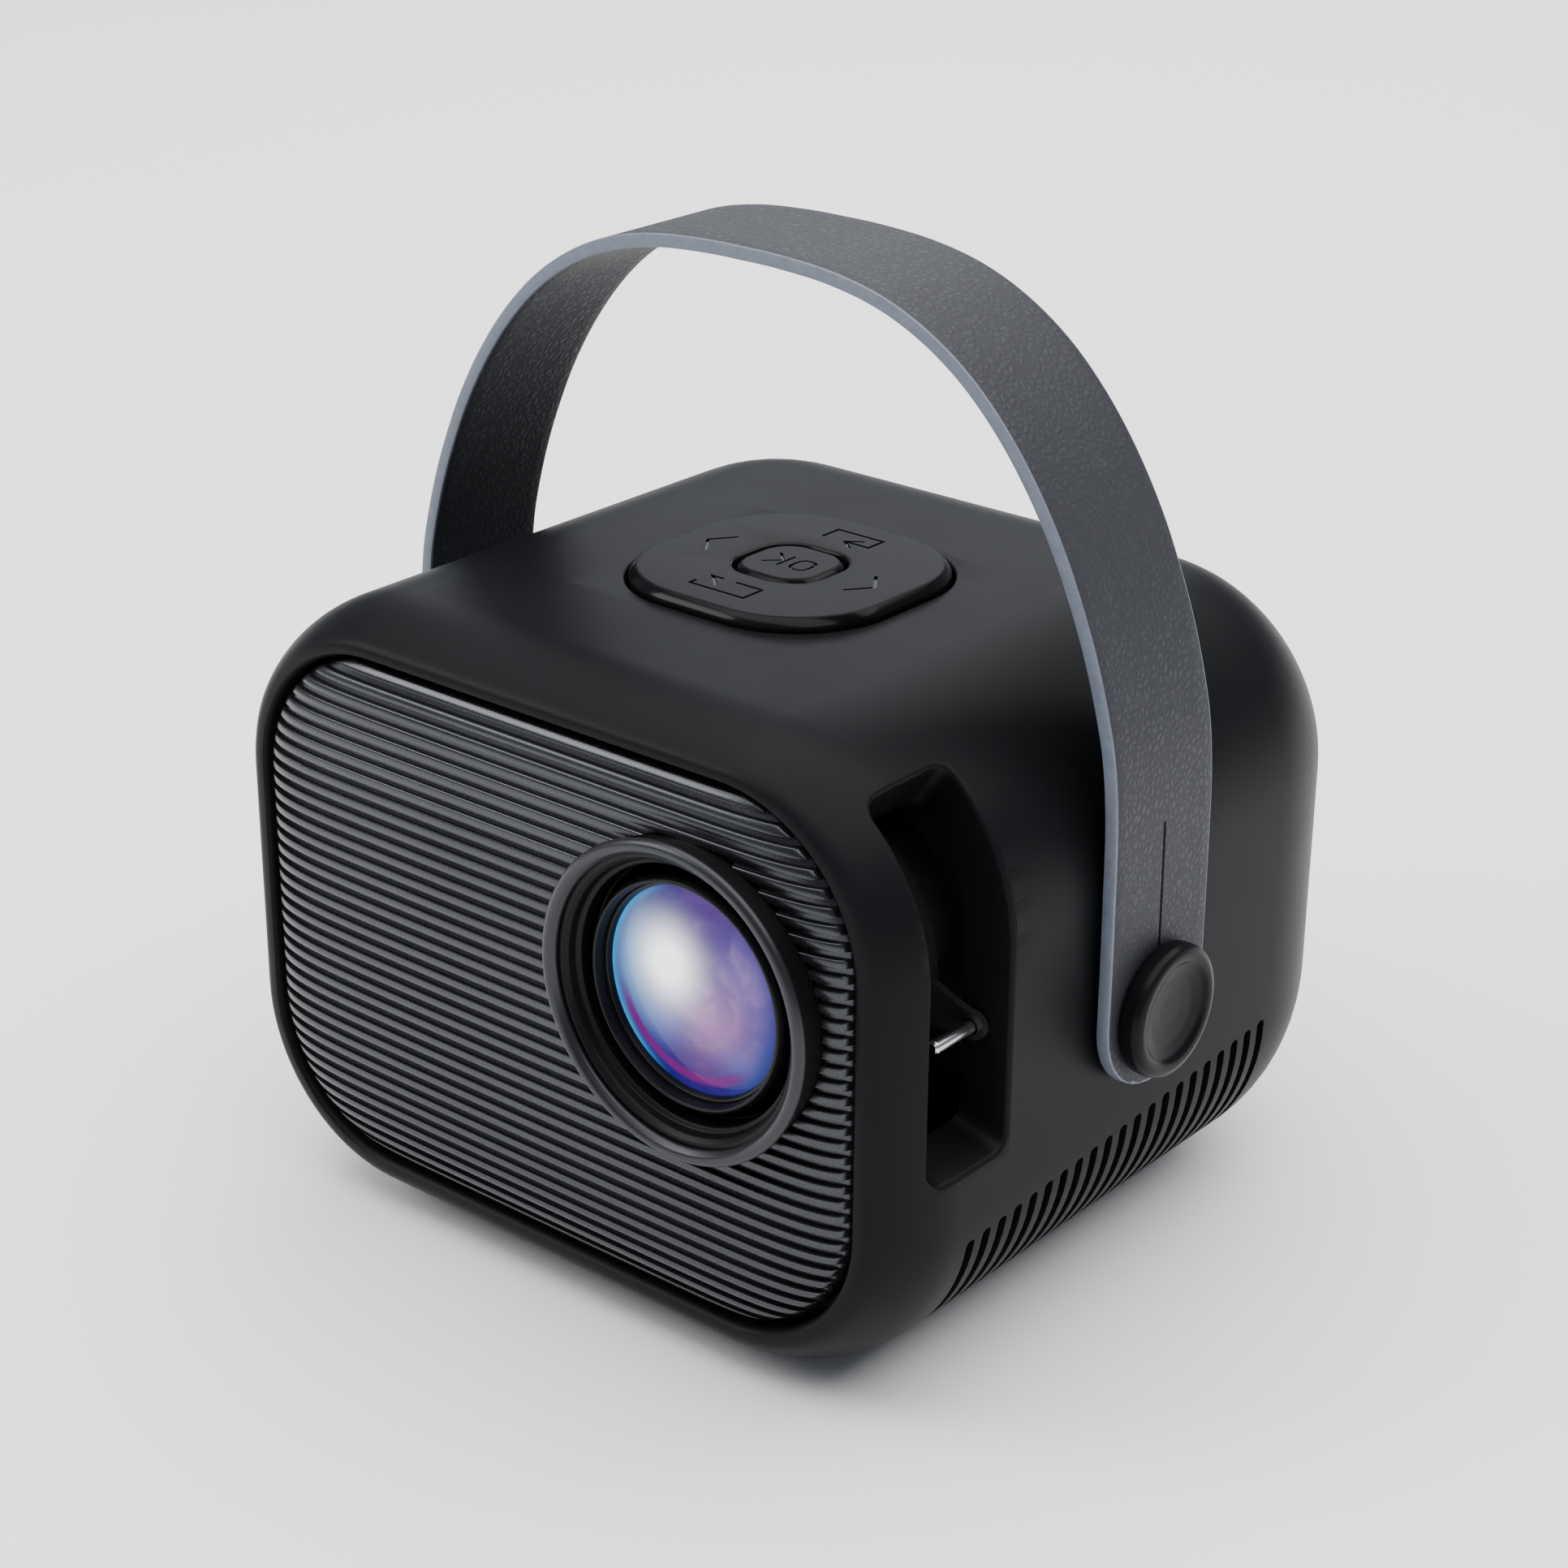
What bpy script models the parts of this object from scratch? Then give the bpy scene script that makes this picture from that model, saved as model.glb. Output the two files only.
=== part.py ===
"""Home projector with a carrying strap, modelled as separate named parts.

The grille and lens face -Y, the focus slot is on the +X side and the feet stand on z = 0.
Sizes below are in millimetres; the objects are made in metres.
"""
import math

import bmesh
import bpy
from mathutils import Vector

for old in list(bpy.data.objects):
    bpy.data.objects.remove(old)

MM = 0.001
TO_CENTRE = Vector((0.0, 3.8835, 0.0))     # puts the whole object's box over the origin

# ---- whole object -------------------------------------------------------------------------
HALF_W = 75.0
Z_BOT, Z_TOP = 2.5, 114.5
Y_RIM, Y_FRONT_FLAT = -73.5, -57.3
Y_BACK_FLAT, BACK_R = 32.5, 42.0
FRONT_R = 24.0
EDGE_TOP, EDGE_BOT = 35.0, 34.0
WALL = 2.5

# ---- lens axis, strap axis, keypad centre ---------------------------------------------------
LENS_X, LENS_Z = 34.4, 70.7
STRAP_Y, STRAP_Z = -9.5, 57.7
PAD_Y, PAD_TILT_Z = -10.0, 109.0
FAN_X, FAN_Z = 22.0, 58.5

# ---- slot, vents, openings ------------------------------------------------------------------
SLOT_Y0, SLOT_Y1 = -64.5, -45.3
VENT_COUNT, VENT_PITCH, VENT_W = 21, 4.2, 1.9
VENT_Y0, VENT_Z0, VENT_Z1 = -54.5, 8.0, 35.5
REAR_Y = 64.3
REAR_HALF_W, REAR_HALF_H, REAR_Z, REAR_SCREW_X = 44.0, 22.0, 58.5, 41.2
BASE_Y = -12.0

# ---- grille ---------------------------------------------------------------------------------
GRILLE_HALF_W, GRILLE_HALF_H, GRILLE_Z, GRILLE_R = 65.3, 47.2, 59.7, 26.4
GRILLE_BACK_Y, GRILLE_EDGE_Y, GRILLE_RISE = -66.3, -71.6, 5.2
RIB_COUNT, RIB_DEPTH, RIB_SHARE = 36, 0.9, 0.56

# ---- strap ----------------------------------------------------------------------------------
STRAP_W, STRAP_T = 27.5, 2.4
STRAP_ARCH = [(78.5, 0.0), (78.5, 12.0), (78.4, 24.0), (78.2, 36.0), (77.3, 46.0), (75.6, 54.0),
              (72.9, 63.0), (69.8, 71.0), (65.8, 79.6), (60.4, 88.6), (53.9, 97.0), (46.4, 104.2),
              (37.8, 109.8), (28.6, 113.6), (18.5, 115.7), (8.0, 116.5), (0.0, 116.6)]


def collection(name, hidden=False):
    """A collection linked to the scene."""
    made = bpy.data.collections.new(name)
    bpy.context.scene.collection.children.link(made)
    made.hide_render = hidden
    return made


PARTS = collection("home_projector")
CUTTERS = collection("cutters")


def material(name, colour, roughness, metallic=0.0):
    """A Principled material for one part."""
    made = bpy.data.materials.new(name)
    made.use_nodes = True
    shader = made.node_tree.nodes["Principled BSDF"]
    shader.inputs["Base Color"].default_value = (*colour, 1.0)
    shader.inputs["Roughness"].default_value = roughness
    shader.inputs["Metallic"].default_value = metallic
    made.diffuse_color = (*colour, 1.0)
    return made


def mesh_object(name, verts, faces, origin=(0, 0, 0)):
    """An object from points in millimetres, with its origin at the given point."""
    mesh = bpy.data.meshes.new(name)
    base = Vector(origin)
    mesh.from_pydata([(Vector(v) - base) * MM for v in verts], [], faces)
    work = bmesh.new()
    work.from_mesh(mesh)
    bmesh.ops.remove_doubles(work, verts=work.verts, dist=1e-6)
    bmesh.ops.recalc_face_normals(work, faces=work.faces)
    work.to_mesh(mesh)
    work.free()
    made = bpy.data.objects.new(name, mesh)
    made.location = (base + TO_CENTRE) * MM
    return made


def part(name, verts, faces, colour, roughness, metallic=0.0, origin=(0, 0, 0)):
    """A finished part in the object's collection."""
    made = mesh_object(name, verts, faces, origin)
    made.data.materials.append(material(name, colour, roughness, metallic))
    PARTS.objects.link(made)
    return made


def cutter(name, verts, faces):
    """A helper solid that is not itself a part."""
    made = mesh_object(name, verts, faces)
    CUTTERS.objects.link(made)
    made.hide_render = True
    made.display_type = "WIRE"
    return made


def boolean(target, tool, operation="DIFFERENCE"):
    """Adds an exact Boolean to the target."""
    mod = target.modifiers.new(f"{operation.lower()}_{tool.name}", "BOOLEAN")
    mod.operation = operation
    mod.solver = "EXACT"
    mod.object = tool


def loft(rings):
    """Points and faces of a closed solid through rings of equal length."""
    n = len(rings[0])
    verts = [p for ring in rings for p in ring]
    faces = [list(range(n))]
    for k in range(len(rings) - 1):
        a, b = k * n, (k + 1) * n
        faces += [[a + i, a + (i + 1) % n, b + (i + 1) % n, b + i] for i in range(n)]
    faces.append(list(range((len(rings) - 1) * n, len(rings) * n)))
    return verts, faces


def tube(outer, inner):
    """Points and faces of a ring-shaped solid from two stacks of rings."""
    n = len(outer[0])
    rings = outer + inner[::-1]
    verts = [p for ring in rings for p in ring]
    faces = []
    for k in range(len(rings)):
        a, b = k * n, (k + 1) % len(rings) * n
        faces += [[a + i, a + (i + 1) % n, b + (i + 1) % n, b + i] for i in range(n)]
    return verts, faces


def box(x0, x1, y0, y1, z0, z1):
    """Points and faces of a block."""
    return loft([[(x0, y0, z), (x1, y0, z), (x1, y1, z), (x0, y1, z)] for z in (z0, z1)])


def rounded(half_w, half_h, radius, steps=4, radius_low=None):
    """A rounded rectangle about the origin as (u, v) points."""
    low = radius if radius_low is None else radius_low
    points = []
    for cu, cv, r, start in ((half_w - radius, half_h - radius, radius, 0),
                             (radius - half_w, half_h - radius, radius, 90),
                             (low - half_w, low - half_h, low, 180),
                             (half_w - low, low - half_h, low, 270)):
        for k in range(steps + 1):
            a = math.radians(start + 90 * k / steps)
            points.append((cu + r * math.cos(a), cv + r * math.sin(a)))
    return points


def circle(radius, steps=24):
    """A circle about the origin as (u, v) points."""
    return [(radius * math.cos(2 * math.pi * k / steps), radius * math.sin(2 * math.pi * k / steps))
            for k in range(steps)]


def at_y(points, y, x=0.0, z=0.0):
    """(u, v) points stood up in the XZ plane at y."""
    return [(x + u, y, z + v) for u, v in points]


def at_x(points, x, y=0.0, z=0.0):
    """(u, v) points stood up in the YZ plane at x."""
    return [(x, y + u, z + v) for u, v in points]


def at_z(points, z, x=0.0, y=0.0):
    """(u, v) points laid in the XY plane at z."""
    return [(x + u, y + v, z) for u, v in points]


def turned(place, profile, centre, steps=24):
    """A solid of revolution: profile is (radius, position) pairs, place is at_x, at_y or at_z."""
    return loft([place(circle(r, steps), p, *centre) for r, p in profile])


def ring_turned(place, outer, inner, centre, steps=24):
    """A hollow solid of revolution from an outer and an inner profile of equal end positions."""
    return tube([place(circle(r, steps), p, *centre) for r, p in outer],
                [place(circle(r, steps), p, *centre) for r, p in inner])


LENS = (LENS_X, LENS_Z)

# ---- housing --------------------------------------------------------------------------------


def shell_ring(y, inset, shrink, top_share=1.0, steps=6):
    """One cross-section of the housing, drawn in by inset on every side."""
    z1, z0 = Z_TOP - inset * top_share, Z_BOT + inset
    half = (z1 - z0) / 2
    points = rounded(HALF_W - inset, half, EDGE_TOP - shrink * inset, steps,
                     EDGE_BOT - shrink * inset)
    return at_y(points, y, 0, (z0 + z1) / 2)


outer = [shell_ring(Y_RIM, 7.3, 0.87, 0.78), shell_ring(Y_RIM + 0.6, 6.2, 0.87, 0.78)]
for reach in (13.0, 9.0, 4.5):
    outer.append(shell_ring(Y_FRONT_FLAT - reach, FRONT_R - math.sqrt(FRONT_R ** 2 - reach ** 2),
                            0.87, 0.78))
outer.append(shell_ring(Y_FRONT_FLAT, 0.0, 0.87))
for k in range(6):
    a = math.radians(18 * k)
    outer.append(shell_ring(Y_BACK_FLAT + BACK_R * math.sin(a), BACK_R * (1 - math.cos(a)), 0.62))

cavity_rings = [shell_ring(Y_RIM - 2, 9.3, 0.87, 0.78), shell_ring(-66.0, 9.3, 0.87, 0.78),
                shell_ring(-66.0, 12.3, 0.87, 0.78), shell_ring(-63.5, 12.3, 0.87, 0.78),
                shell_ring(-60.5, 5.6, 0.87, 0.78), shell_ring(-56.0, WALL, 0.87)]
inner_r = BACK_R - WALL
for k in range(5):
    a = math.radians(22.5 * k)
    cavity_rings.append(shell_ring(Y_BACK_FLAT + inner_r * math.sin(a),
                                   WALL + inner_r * (1 - math.cos(a)), 0.62))
cavity = cutter("cavity", *loft(cavity_rings))

slot_block = [(65.5, 38.0), (65.5, 86.0), (50.5, 101.5), (50.5, 118.0), (82.0, 118.0), (82.0, 38.0)]
boolean(cavity, cutter("slot_block", *loft([at_y(slot_block, SLOT_Y0 - 1.45),
                                            at_y(slot_block, SLOT_Y1 + 2.4)])))
for side in (-1, 1):
    boolean(cavity, cutter(f"strap_boss_{side}", *turned(
        at_x, [(8.0, side * 70.0), (8.0, side * 80.0)], (STRAP_Y, STRAP_Z), 20)))
boolean(cavity, cutter("rear_frame", *loft([
    at_y(rounded(REAR_HALF_W + 3, REAR_HALF_H + 3, 10), y, 0, REAR_Z) for y in (60.0, 80.0)])))
boolean(cavity, cutter("base_shelf", *box(-43.5, 43.5, BASE_Y - 47, BASE_Y + 47, 2.0, 7.8)))
for k, (px, py) in enumerate(((-26, -26), (26, -26), (-26, 26), (26, 26))):
    boolean(cavity, cutter(f"board_post_{k}", *turned(
        at_z, [(2.3, 102.9), (2.3, 116.0)], (px, PAD_Y + py), 10)))

housing = part("housing_shell", *loft(outer), (0.018, 0.018, 0.020), 0.55)
boolean(housing, cavity)
slot_profile = [(84.0, 42.8), (64.0, 48.0), (46.0, 52.0), (46.0, 92.0), (53.5, 96.0), (60.3, 107.8),
                (66.0, 118.0), (84.0, 118.0)]
boolean(housing, cutter("slot_cut", *loft([at_y(slot_profile, SLOT_Y0), at_y(slot_profile, SLOT_Y1)])))
for k in range(VENT_COUNT):
    y = VENT_Y0 + VENT_PITCH * k
    boolean(housing, cutter(f"vent_cut_{k:02d}", *box(-90, 90, y, y + VENT_W, VENT_Z0, VENT_Z1)))
boolean(housing, cutter("strap_hole", *turned(
    at_x, [(4.1, -90.0), (4.1, 90.0)], (STRAP_Y, STRAP_Z), 20)))
for side in (-1, 1):
    boolean(housing, cutter(f"washer_seat_{side}", *turned(
        at_x, [(9.4, side * 74.2), (9.4, side * 90.0)], (STRAP_Y, STRAP_Z), 20)))
boolean(housing, cutter("pad_hole", *loft([
    at_z(rounded(25.7, 25.7, 19.2, 5), z, 0, PAD_Y) for z in (98.0, 120.0)])))
boolean(housing, cutter("rear_hole", *loft([
    at_y(rounded(REAR_HALF_W - 5, REAR_HALF_H - 3, 6), y, 0, REAR_Z) for y in (59.0, 90.0)])))
boolean(housing, cutter("rear_seat", *loft([
    at_y(rounded(REAR_HALF_W, REAR_HALF_H, 8), y, 0, REAR_Z) for y in (REAR_Y, 90.0)])))
boolean(housing, cutter("base_seat", *loft([
    at_z(rounded(39.3, 43.3, 6.3), z, 0, BASE_Y) for z in (-5.0, 5.3)])))
boolean(housing, cutter("base_hole", *loft([
    at_z(rounded(27.0, 36.0, 6.0), z, 0, BASE_Y) for z in (-5.0, 12.0)])))
SCREWS = [(-33.0, -50.0), (33.0, -50.0), (-33.0, 26.0), (33.0, 26.0)]
for k, (sx, sy) in enumerate(SCREWS):
    boolean(housing, cutter(f"pilot_{k}", *turned(at_z, [(1.55, 0.0), (1.55, 9.5)], (sx, sy), 10)))
for side in (-1, 1):
    boolean(housing, cutter(f"rear_pilot_{side}", *turned(
        at_y, [(1.35, 59.0), (1.35, 70.0)], (side * REAR_SCREW_X, REAR_Z), 10)))

# ---- front grille ---------------------------------------------------------------------------


def outline_half_width(v):
    """Half width of the grille's outline at height v above its centre."""
    over = max(abs(v) - (GRILLE_HALF_H - GRILLE_R), 0.0)
    return GRILLE_HALF_W - GRILLE_R + math.sqrt(max(GRILLE_R ** 2 - over ** 2, 0.0))


def crown(u, v):
    """How far the grille stands out in front of its edge at a share (u, v) of its half size."""
    rise = 1 - max(abs(u), abs(v)) ** 6
    return GRILLE_RISE * (0.72 * rise + 0.28 * (1 - u * u) * (1 - v * v))


pitch = 2 * GRILLE_HALF_H / RIB_COUNT
rows = []
for k in range(RIB_COUNT):
    low = -GRILLE_HALF_H + pitch * k + pitch * (1 - RIB_SHARE) / 2
    for v, lift in ((low, 0.0), (low, RIB_DEPTH), (low + pitch * RIB_SHARE, RIB_DEPTH),
                    (low + pitch * RIB_SHARE, 0.0)):
        rows.append((v, lift))
COLUMNS = [-1.0, -0.92, -0.7, 0.0, 0.7, 0.92, 1.0]
verts, faces = [], []
for v, lift in rows:
    half = outline_half_width(v) - 0.2
    for u in COLUMNS:
        y = GRILLE_EDGE_Y - crown(u, v / GRILLE_HALF_H) - lift + RIB_DEPTH
        verts.append((half * u, y, GRILLE_Z + v))
count = len(COLUMNS)
for r in range(len(rows) - 1):
    faces += [[r * count + c, r * count + c + 1, (r + 1) * count + c + 1, (r + 1) * count + c]
              for c in range(count - 1)]
left = [r * count for r in range(len(rows))]
right = [r * count + count - 1 for r in range(len(rows))]
base = len(verts)
kept_rows = [r for r in range(len(rows)) if rows[r][1] == 0.0]
for r in kept_rows:
    for u in (-1.0, 1.0):
        half = outline_half_width(rows[r][0]) - 0.2
        verts.append((half * u, GRILLE_BACK_Y, GRILLE_Z + rows[r][0]))
back_left = {r: base + 2 * k for k, r in enumerate(kept_rows)}
back_right = {r: base + 2 * k + 1 for k, r in enumerate(kept_rows)}
for lower, upper in zip(kept_rows, kept_rows[1:]):
    span = list(range(lower, upper + 1))
    faces.append([back_left[lower]] + [left[r] for r in span] + [back_left[upper]])
    faces.append([back_right[upper]] + [right[r] for r in reversed(span)] + [back_right[lower]])
first, last = kept_rows[0], kept_rows[-1]
faces.append([back_left[first], back_right[first]] + [first * count + c for c in reversed(range(count))])
faces.append([last * count + c for c in range(count)] + [back_right[last], back_left[last]])
faces.append([back_left[r] for r in kept_rows] + [back_right[r] for r in reversed(kept_rows)])
grille = part("front_grille", verts, faces, (0.19, 0.19, 0.20), 0.34, 0.8)
boolean(grille, cutter("lens_collar", *turned(
    at_y, [(30.3, -70.0), (30.3, -75.6), (27.9, -79.0)], LENS, 28)), "UNION")
boolean(grille, cutter("lens_hole", *turned(at_y, [(24.9, -90.0), (24.9, -60.0)], LENS, 28)))
hollow = rounded(GRILLE_HALF_W - 4, GRILLE_HALF_H - 4, GRILLE_R - 4, 4)
inner_hollow = rounded(GRILLE_HALF_W - 16, GRILLE_HALF_H - 16, GRILLE_R - 12, 4)
hollow_cut = cutter("grille_hollow", *loft([at_y(hollow, GRILLE_BACK_Y + 1, 0, GRILLE_Z),
                                            at_y(hollow, GRILLE_BACK_Y - 2.2, 0, GRILLE_Z),
                                            at_y(inner_hollow, GRILLE_BACK_Y - 6.2, 0, GRILLE_Z)]))
boolean(hollow_cut, cutter("hollow_keep", *turned(at_y, [(27.6, -90.0), (27.6, -60.0)], LENS, 20)))
boolean(grille, hollow_cut)

# ---- lens: trim ring, shroud, moving barrel, glass, focus ring ----------------------------------
part("lens_ring", *ring_turned(
    at_y, [(26.6, -79.3), (27.3, -79.6), (27.3, -80.4), (26.7, -81.0)],
    [(24.6, -79.3), (24.6, -79.6), (24.6, -80.6), (25.0, -81.0)], LENS, 28),
    (0.13, 0.13, 0.14), 0.3, 0.85)
part("lens_shroud", *ring_turned(
    at_y, [(24.5, -79.0), (24.5, -65.9), (27.6, -65.9), (27.6, -64.4)],
    [(24.0, -79.0), (22.2, -77.2), (21.9, -77.0), (21.0, -64.4)], LENS, 24),
    (0.012, 0.012, 0.013), 0.4)
BARREL_AT = (LENS_X, -60.0, LENS_Z)
barrel = part("lens_barrel", *ring_turned(
    at_y, [(19.0, -76.9), (20.1, -76.0), (20.1, -60.0), (20.1, -40.0)],
    [(18.2, -76.9), (17.5, -75.6), (17.5, -58.0), (14.4, -40.0)], LENS, 24),
    (0.014, 0.014, 0.015), 0.38, origin=BARREL_AT)
part("lens_retainer", *ring_turned(
    at_y, [(17.3, -75.3), (17.3, -74.3)], [(16.4, -75.3), (16.2, -74.3)], LENS, 24),
    (0.016, 0.016, 0.018), 0.35, origin=BARREL_AT)
part("front_lens_element", *turned(
    at_y, [(0.02, -75.9), (6.0, -75.6), (11.0, -75.0), (16.0, -74.1), (17.2, -74.0), (17.2, -71.4),
           (11.0, -70.2), (0.02, -69.8)], LENS, 24),
    (0.40, 0.36, 0.70), 0.04, origin=BARREL_AT)
part("rear_lens_element", *turned(
    at_y, [(0.02, -47.6), (8.0, -47.0), (14.0, -45.4), (14.0, -43.6), (0.02, -42.6)], LENS, 24),
    (0.45, 0.48, 0.60), 0.04, origin=BARREL_AT)
boolean(barrel, cutter("rear_glass_seat", *turned(
    at_y, [(14.3, -48.2), (14.3, -39.0)], LENS, 24)))
mount = part("lens_mount", *ring_turned(
    at_y, [(22.5, -57.5), (22.5, -34.0)], [(20.5, -57.5), (20.5, -34.0)], LENS, 20),
    (0.05, 0.05, 0.055), 0.5)
flange = cutter("mount_flange", *loft([
    at_y(rounded(29, 23, 3, 2), y, *LENS) for y in (-34.6, -31.2)]))
boolean(flange, cutter("mount_bore", *turned(at_y, [(20.5, -60.0), (20.5, -20.0)], LENS, 20)))
boolean(mount, flange, "UNION")

LEVER_ANGLE = math.radians(-9.0)
LEVER_R = 34.4
focus = part("focus_ring", *ring_turned(
    at_y, [(25.4, -56.0), (26.0, -55.4), (26.0, -45.2), (25.4, -44.6)],
    [(22.8, -56.0), (22.8, -55.4), (22.8, -45.2), (22.8, -44.6)], LENS, 24),
    (0.02, 0.02, 0.022), 0.45, origin=(LENS_X, -50.0, LENS_Z))
along = Vector((math.cos(LEVER_ANGLE), math.sin(LEVER_ANGLE)))
across = Vector((-along.y, along.x))
arm = [along * 24.4 - across * 4.2, along * 31.5 - across * 2.6, along * 35.6 - across * 2.3,
       along * 37.0 - across * 1.1, along * 37.0 + across * 1.1, along * 35.6 + across * 2.3,
       along * 31.5 + across * 2.6, along * 24.4 + across * 4.2]
grip_at = (LENS_X + along.x * LEVER_R, LENS_Z + along.y * LEVER_R)
arm_solid = cutter("focus_arm", *loft([at_y(arm, -47.1, *LENS), at_y(arm, -45.7, *LENS)]))
boolean(arm_solid, cutter("grip_hole", *turned(at_y, [(1.4, -49.0), (1.4, -44.0)], grip_at, 14)))
boolean(focus, arm_solid, "UNION")
part("focus_grip", *turned(
    at_y, [(0.75, -57.0), (1.15, -56.5), (1.15, -45.6)], grip_at, 14),
    (0.55, 0.55, 0.56), 0.22, 1.0, origin=(LENS_X, -50.0, LENS_Z))

# ---- light engine -------------------------------------------------------------------------------
CX, CZ = LENS
engine = part("optical_box", *loft([at_y(rounded(30, 24, 2, 1), y, *LENS) for y in (-30.9, 12.0)]),
              (0.03, 0.03, 0.03), 0.6)
boolean(engine, cutter("optical_hollow", *loft([
    at_y(rounded(28, 22, 1, 1), y, *LENS) for y in (-40.0, 20.0)])))
for name, y, thick, colour in (("fresnel_front", -16.0, 1.6, (0.7, 0.72, 0.75)),
                               ("lcd_panel", -8.0, 2.4, (0.05, 0.05, 0.06)),
                               ("heat_glass", 0.0, 1.4, (0.6, 0.68, 0.66)),
                               ("fresnel_rear", 7.0, 1.6, (0.7, 0.72, 0.75))):
    part(name, *loft([at_y(rounded(27.6, 21.6, 1, 1), y, *LENS),
                      at_y(rounded(27.6, 21.6, 1, 1), y + thick, *LENS)]), colour, 0.1)
part("light_reflector", *tube(
    [at_y(rounded(29, 23, 1, 1), 12.4, *LENS), at_y(rounded(12, 12, 1, 1), 28.0, *LENS)],
    [at_y(rounded(27, 21, 1, 1), 12.4, *LENS), at_y(rounded(8, 8, 1, 1), 28.0, *LENS)]),
    (0.75, 0.75, 0.76), 0.15, 1.0)
led = part("led_board", *loft([at_y(rounded(15, 15, 2, 2), y, *LENS) for y in (28.4, 30.0)]),
           (0.85, 0.85, 0.82), 0.5)
boolean(led, cutter("led_chip", *box(CX - 5, CX + 5, 26.0, 29.0, CZ - 5, CZ + 5)), "UNION")
comb = [(CX - 24, 34.0), (CX - 24, 30.3), (CX + 24, 30.3), (CX + 24, 34.0)]
for k in range(9):
    x = CX + 23.4 - 5.85 * k
    comb += [(x, 34.0), (x, 46.5), (x - 1.2, 46.5), (x - 1.2, 34.0)] if 0 < k < 8 else []
part("heatsink", *loft([at_z(comb, CZ - 21), at_z(comb, CZ + 21)]), (0.62, 0.63, 0.64), 0.35, 1.0)

# ---- fan ------------------------------------------------------------------------------------------
FAN = (FAN_X, FAN_Z)
fan = part("fan_frame", *loft([at_y(rounded(20, 20, 2, 2), y, *FAN) for y in (48.4, 58.4)]),
           (0.02, 0.02, 0.02), 0.5)
boolean(fan, cutter("fan_bore", *turned(at_y, [(18.7, 46.0), (18.7, 60.0)], FAN, 20)))
stator = cutter("fan_stator", *turned(at_y, [(8.0, 57.2), (8.0, 58.4)], FAN, 20))
for k in range(3):
    a = math.radians(30 + 120 * k)
    spoke = [(7.0, -1.0), (19.4, -1.0), (19.4, 1.0), (7.0, 1.0)]
    turned_spoke = [(u * math.cos(a) - v * math.sin(a), u * math.sin(a) + v * math.cos(a))
                    for u, v in spoke]
    boolean(stator, cutter(f"fan_spoke_{k}", *loft([
        at_y(turned_spoke, y, *FAN) for y in (57.2, 58.2)])), "UNION")
boolean(fan, stator, "UNION")
rotor = part("fan_rotor", *turned(at_y, [(7.6, 49.2), (8.4, 50.0), (8.4, 56.6)], FAN, 18),
             (0.025, 0.025, 0.025), 0.42, origin=(FAN_X, 53.0, FAN_Z))
for k in range(7):
    a = 2 * math.pi * k / 7
    blade = []
    for r, sweep, low, high in ((6.5, 0.0, 50.6, 56.2), (13.0, 0.12, 50.4, 56.0),
                                (17.9, 0.3, 50.2, 55.8)):
        spread = 3.2 / r
        blade.append([(FAN_X + r * math.cos(a + sweep + t), y, FAN_Z + r * math.sin(a + sweep + t))
                      for t, y in ((-spread, low), (-spread + 0.9 / r, low),
                                   (spread, high), (spread - 0.9 / r, high))])
    boolean(rotor, cutter(f"fan_blade_{k}", *loft(blade)), "UNION")

# ---- electronics at the back --------------------------------------------------------------------
part("main_board", *box(-62.0, -3.0, 49.8, 51.4, 34.0, 88.0), (0.02, 0.12, 0.06), 0.45)
panel = part("rear_panel", *loft([
    at_y(rounded(REAR_HALF_W - 0.4, REAR_HALF_H - 0.4, 7.6), y, 0, REAR_Z)
    for y in (REAR_Y + 0.3, REAR_Y + 2.8)]), (0.02, 0.02, 0.022), 0.5)
HDMI, USB, AV, DC, POWER, IR = (-30, 70), (-30, 57.5), (-30, 45), (-11, 45), (-11, 68), (-11, 56)
for name, at, half in (("hdmi", HDMI, (7.9, 3.3)), ("usb", USB, (7.2, 3.6)), ("av", AV, (3.9, 3.9)),
                       ("dc", DC, (5.2, 5.2))):
    boolean(panel, cutter(f"{name}_opening", *loft([
        at_y(rounded(*half, 0.6, 1), y, *at) for y in (60.0, 70.0)])))
boolean(panel, cutter("power_opening", *turned(at_y, [(5.6, 60.0), (5.6, 70.0)], POWER, 20)))
boolean(panel, cutter("ir_opening", *loft([
    at_y(rounded(4.3, 2.8, 2.4, 3), y, *IR) for y in (60.0, 70.0)])))
for k in range(7):
    z = FAN_Z - 15 + 5 * k
    half = 17.0 if abs(k - 3) < 3 else 13.0
    boolean(panel, cutter(f"exhaust_{k}", *box(
        FAN_X - half, FAN_X + half, 60.0, 70.0, z - 1.3, z + 1.3)))
for side in (-1, 1):
    boolean(panel, cutter(f"panel_screw_hole_{side}", *turned(
        at_y, [(1.5, 60.0), (1.5, 66.0), (2.3, 66.0), (2.3, 70.0)], (side * REAR_SCREW_X, REAR_Z), 12)))
socket = part("hdmi_socket", *loft([at_y(rounded(7.6, 3.0, 0.6, 1), y, *HDMI) for y in (51.7, 66.4)]),
              (0.62, 0.62, 0.63), 0.3, 1.0)
boolean(socket, cutter("hdmi_mouth", *loft([
    at_y([(-7.0, 2.3), (-7.0, -0.9), (-5.2, -2.3), (5.2, -2.3), (7.0, -0.9), (7.0, 2.3)], y, *HDMI)
    for y in (57.0, 70.0)])))
boolean(socket, cutter("hdmi_tongue", *box(HDMI[0] - 5.6, HDMI[0] + 5.6, 56.0, 65.0,
                                           HDMI[1] - 0.1, HDMI[1] + 0.9)), "UNION")
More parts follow.
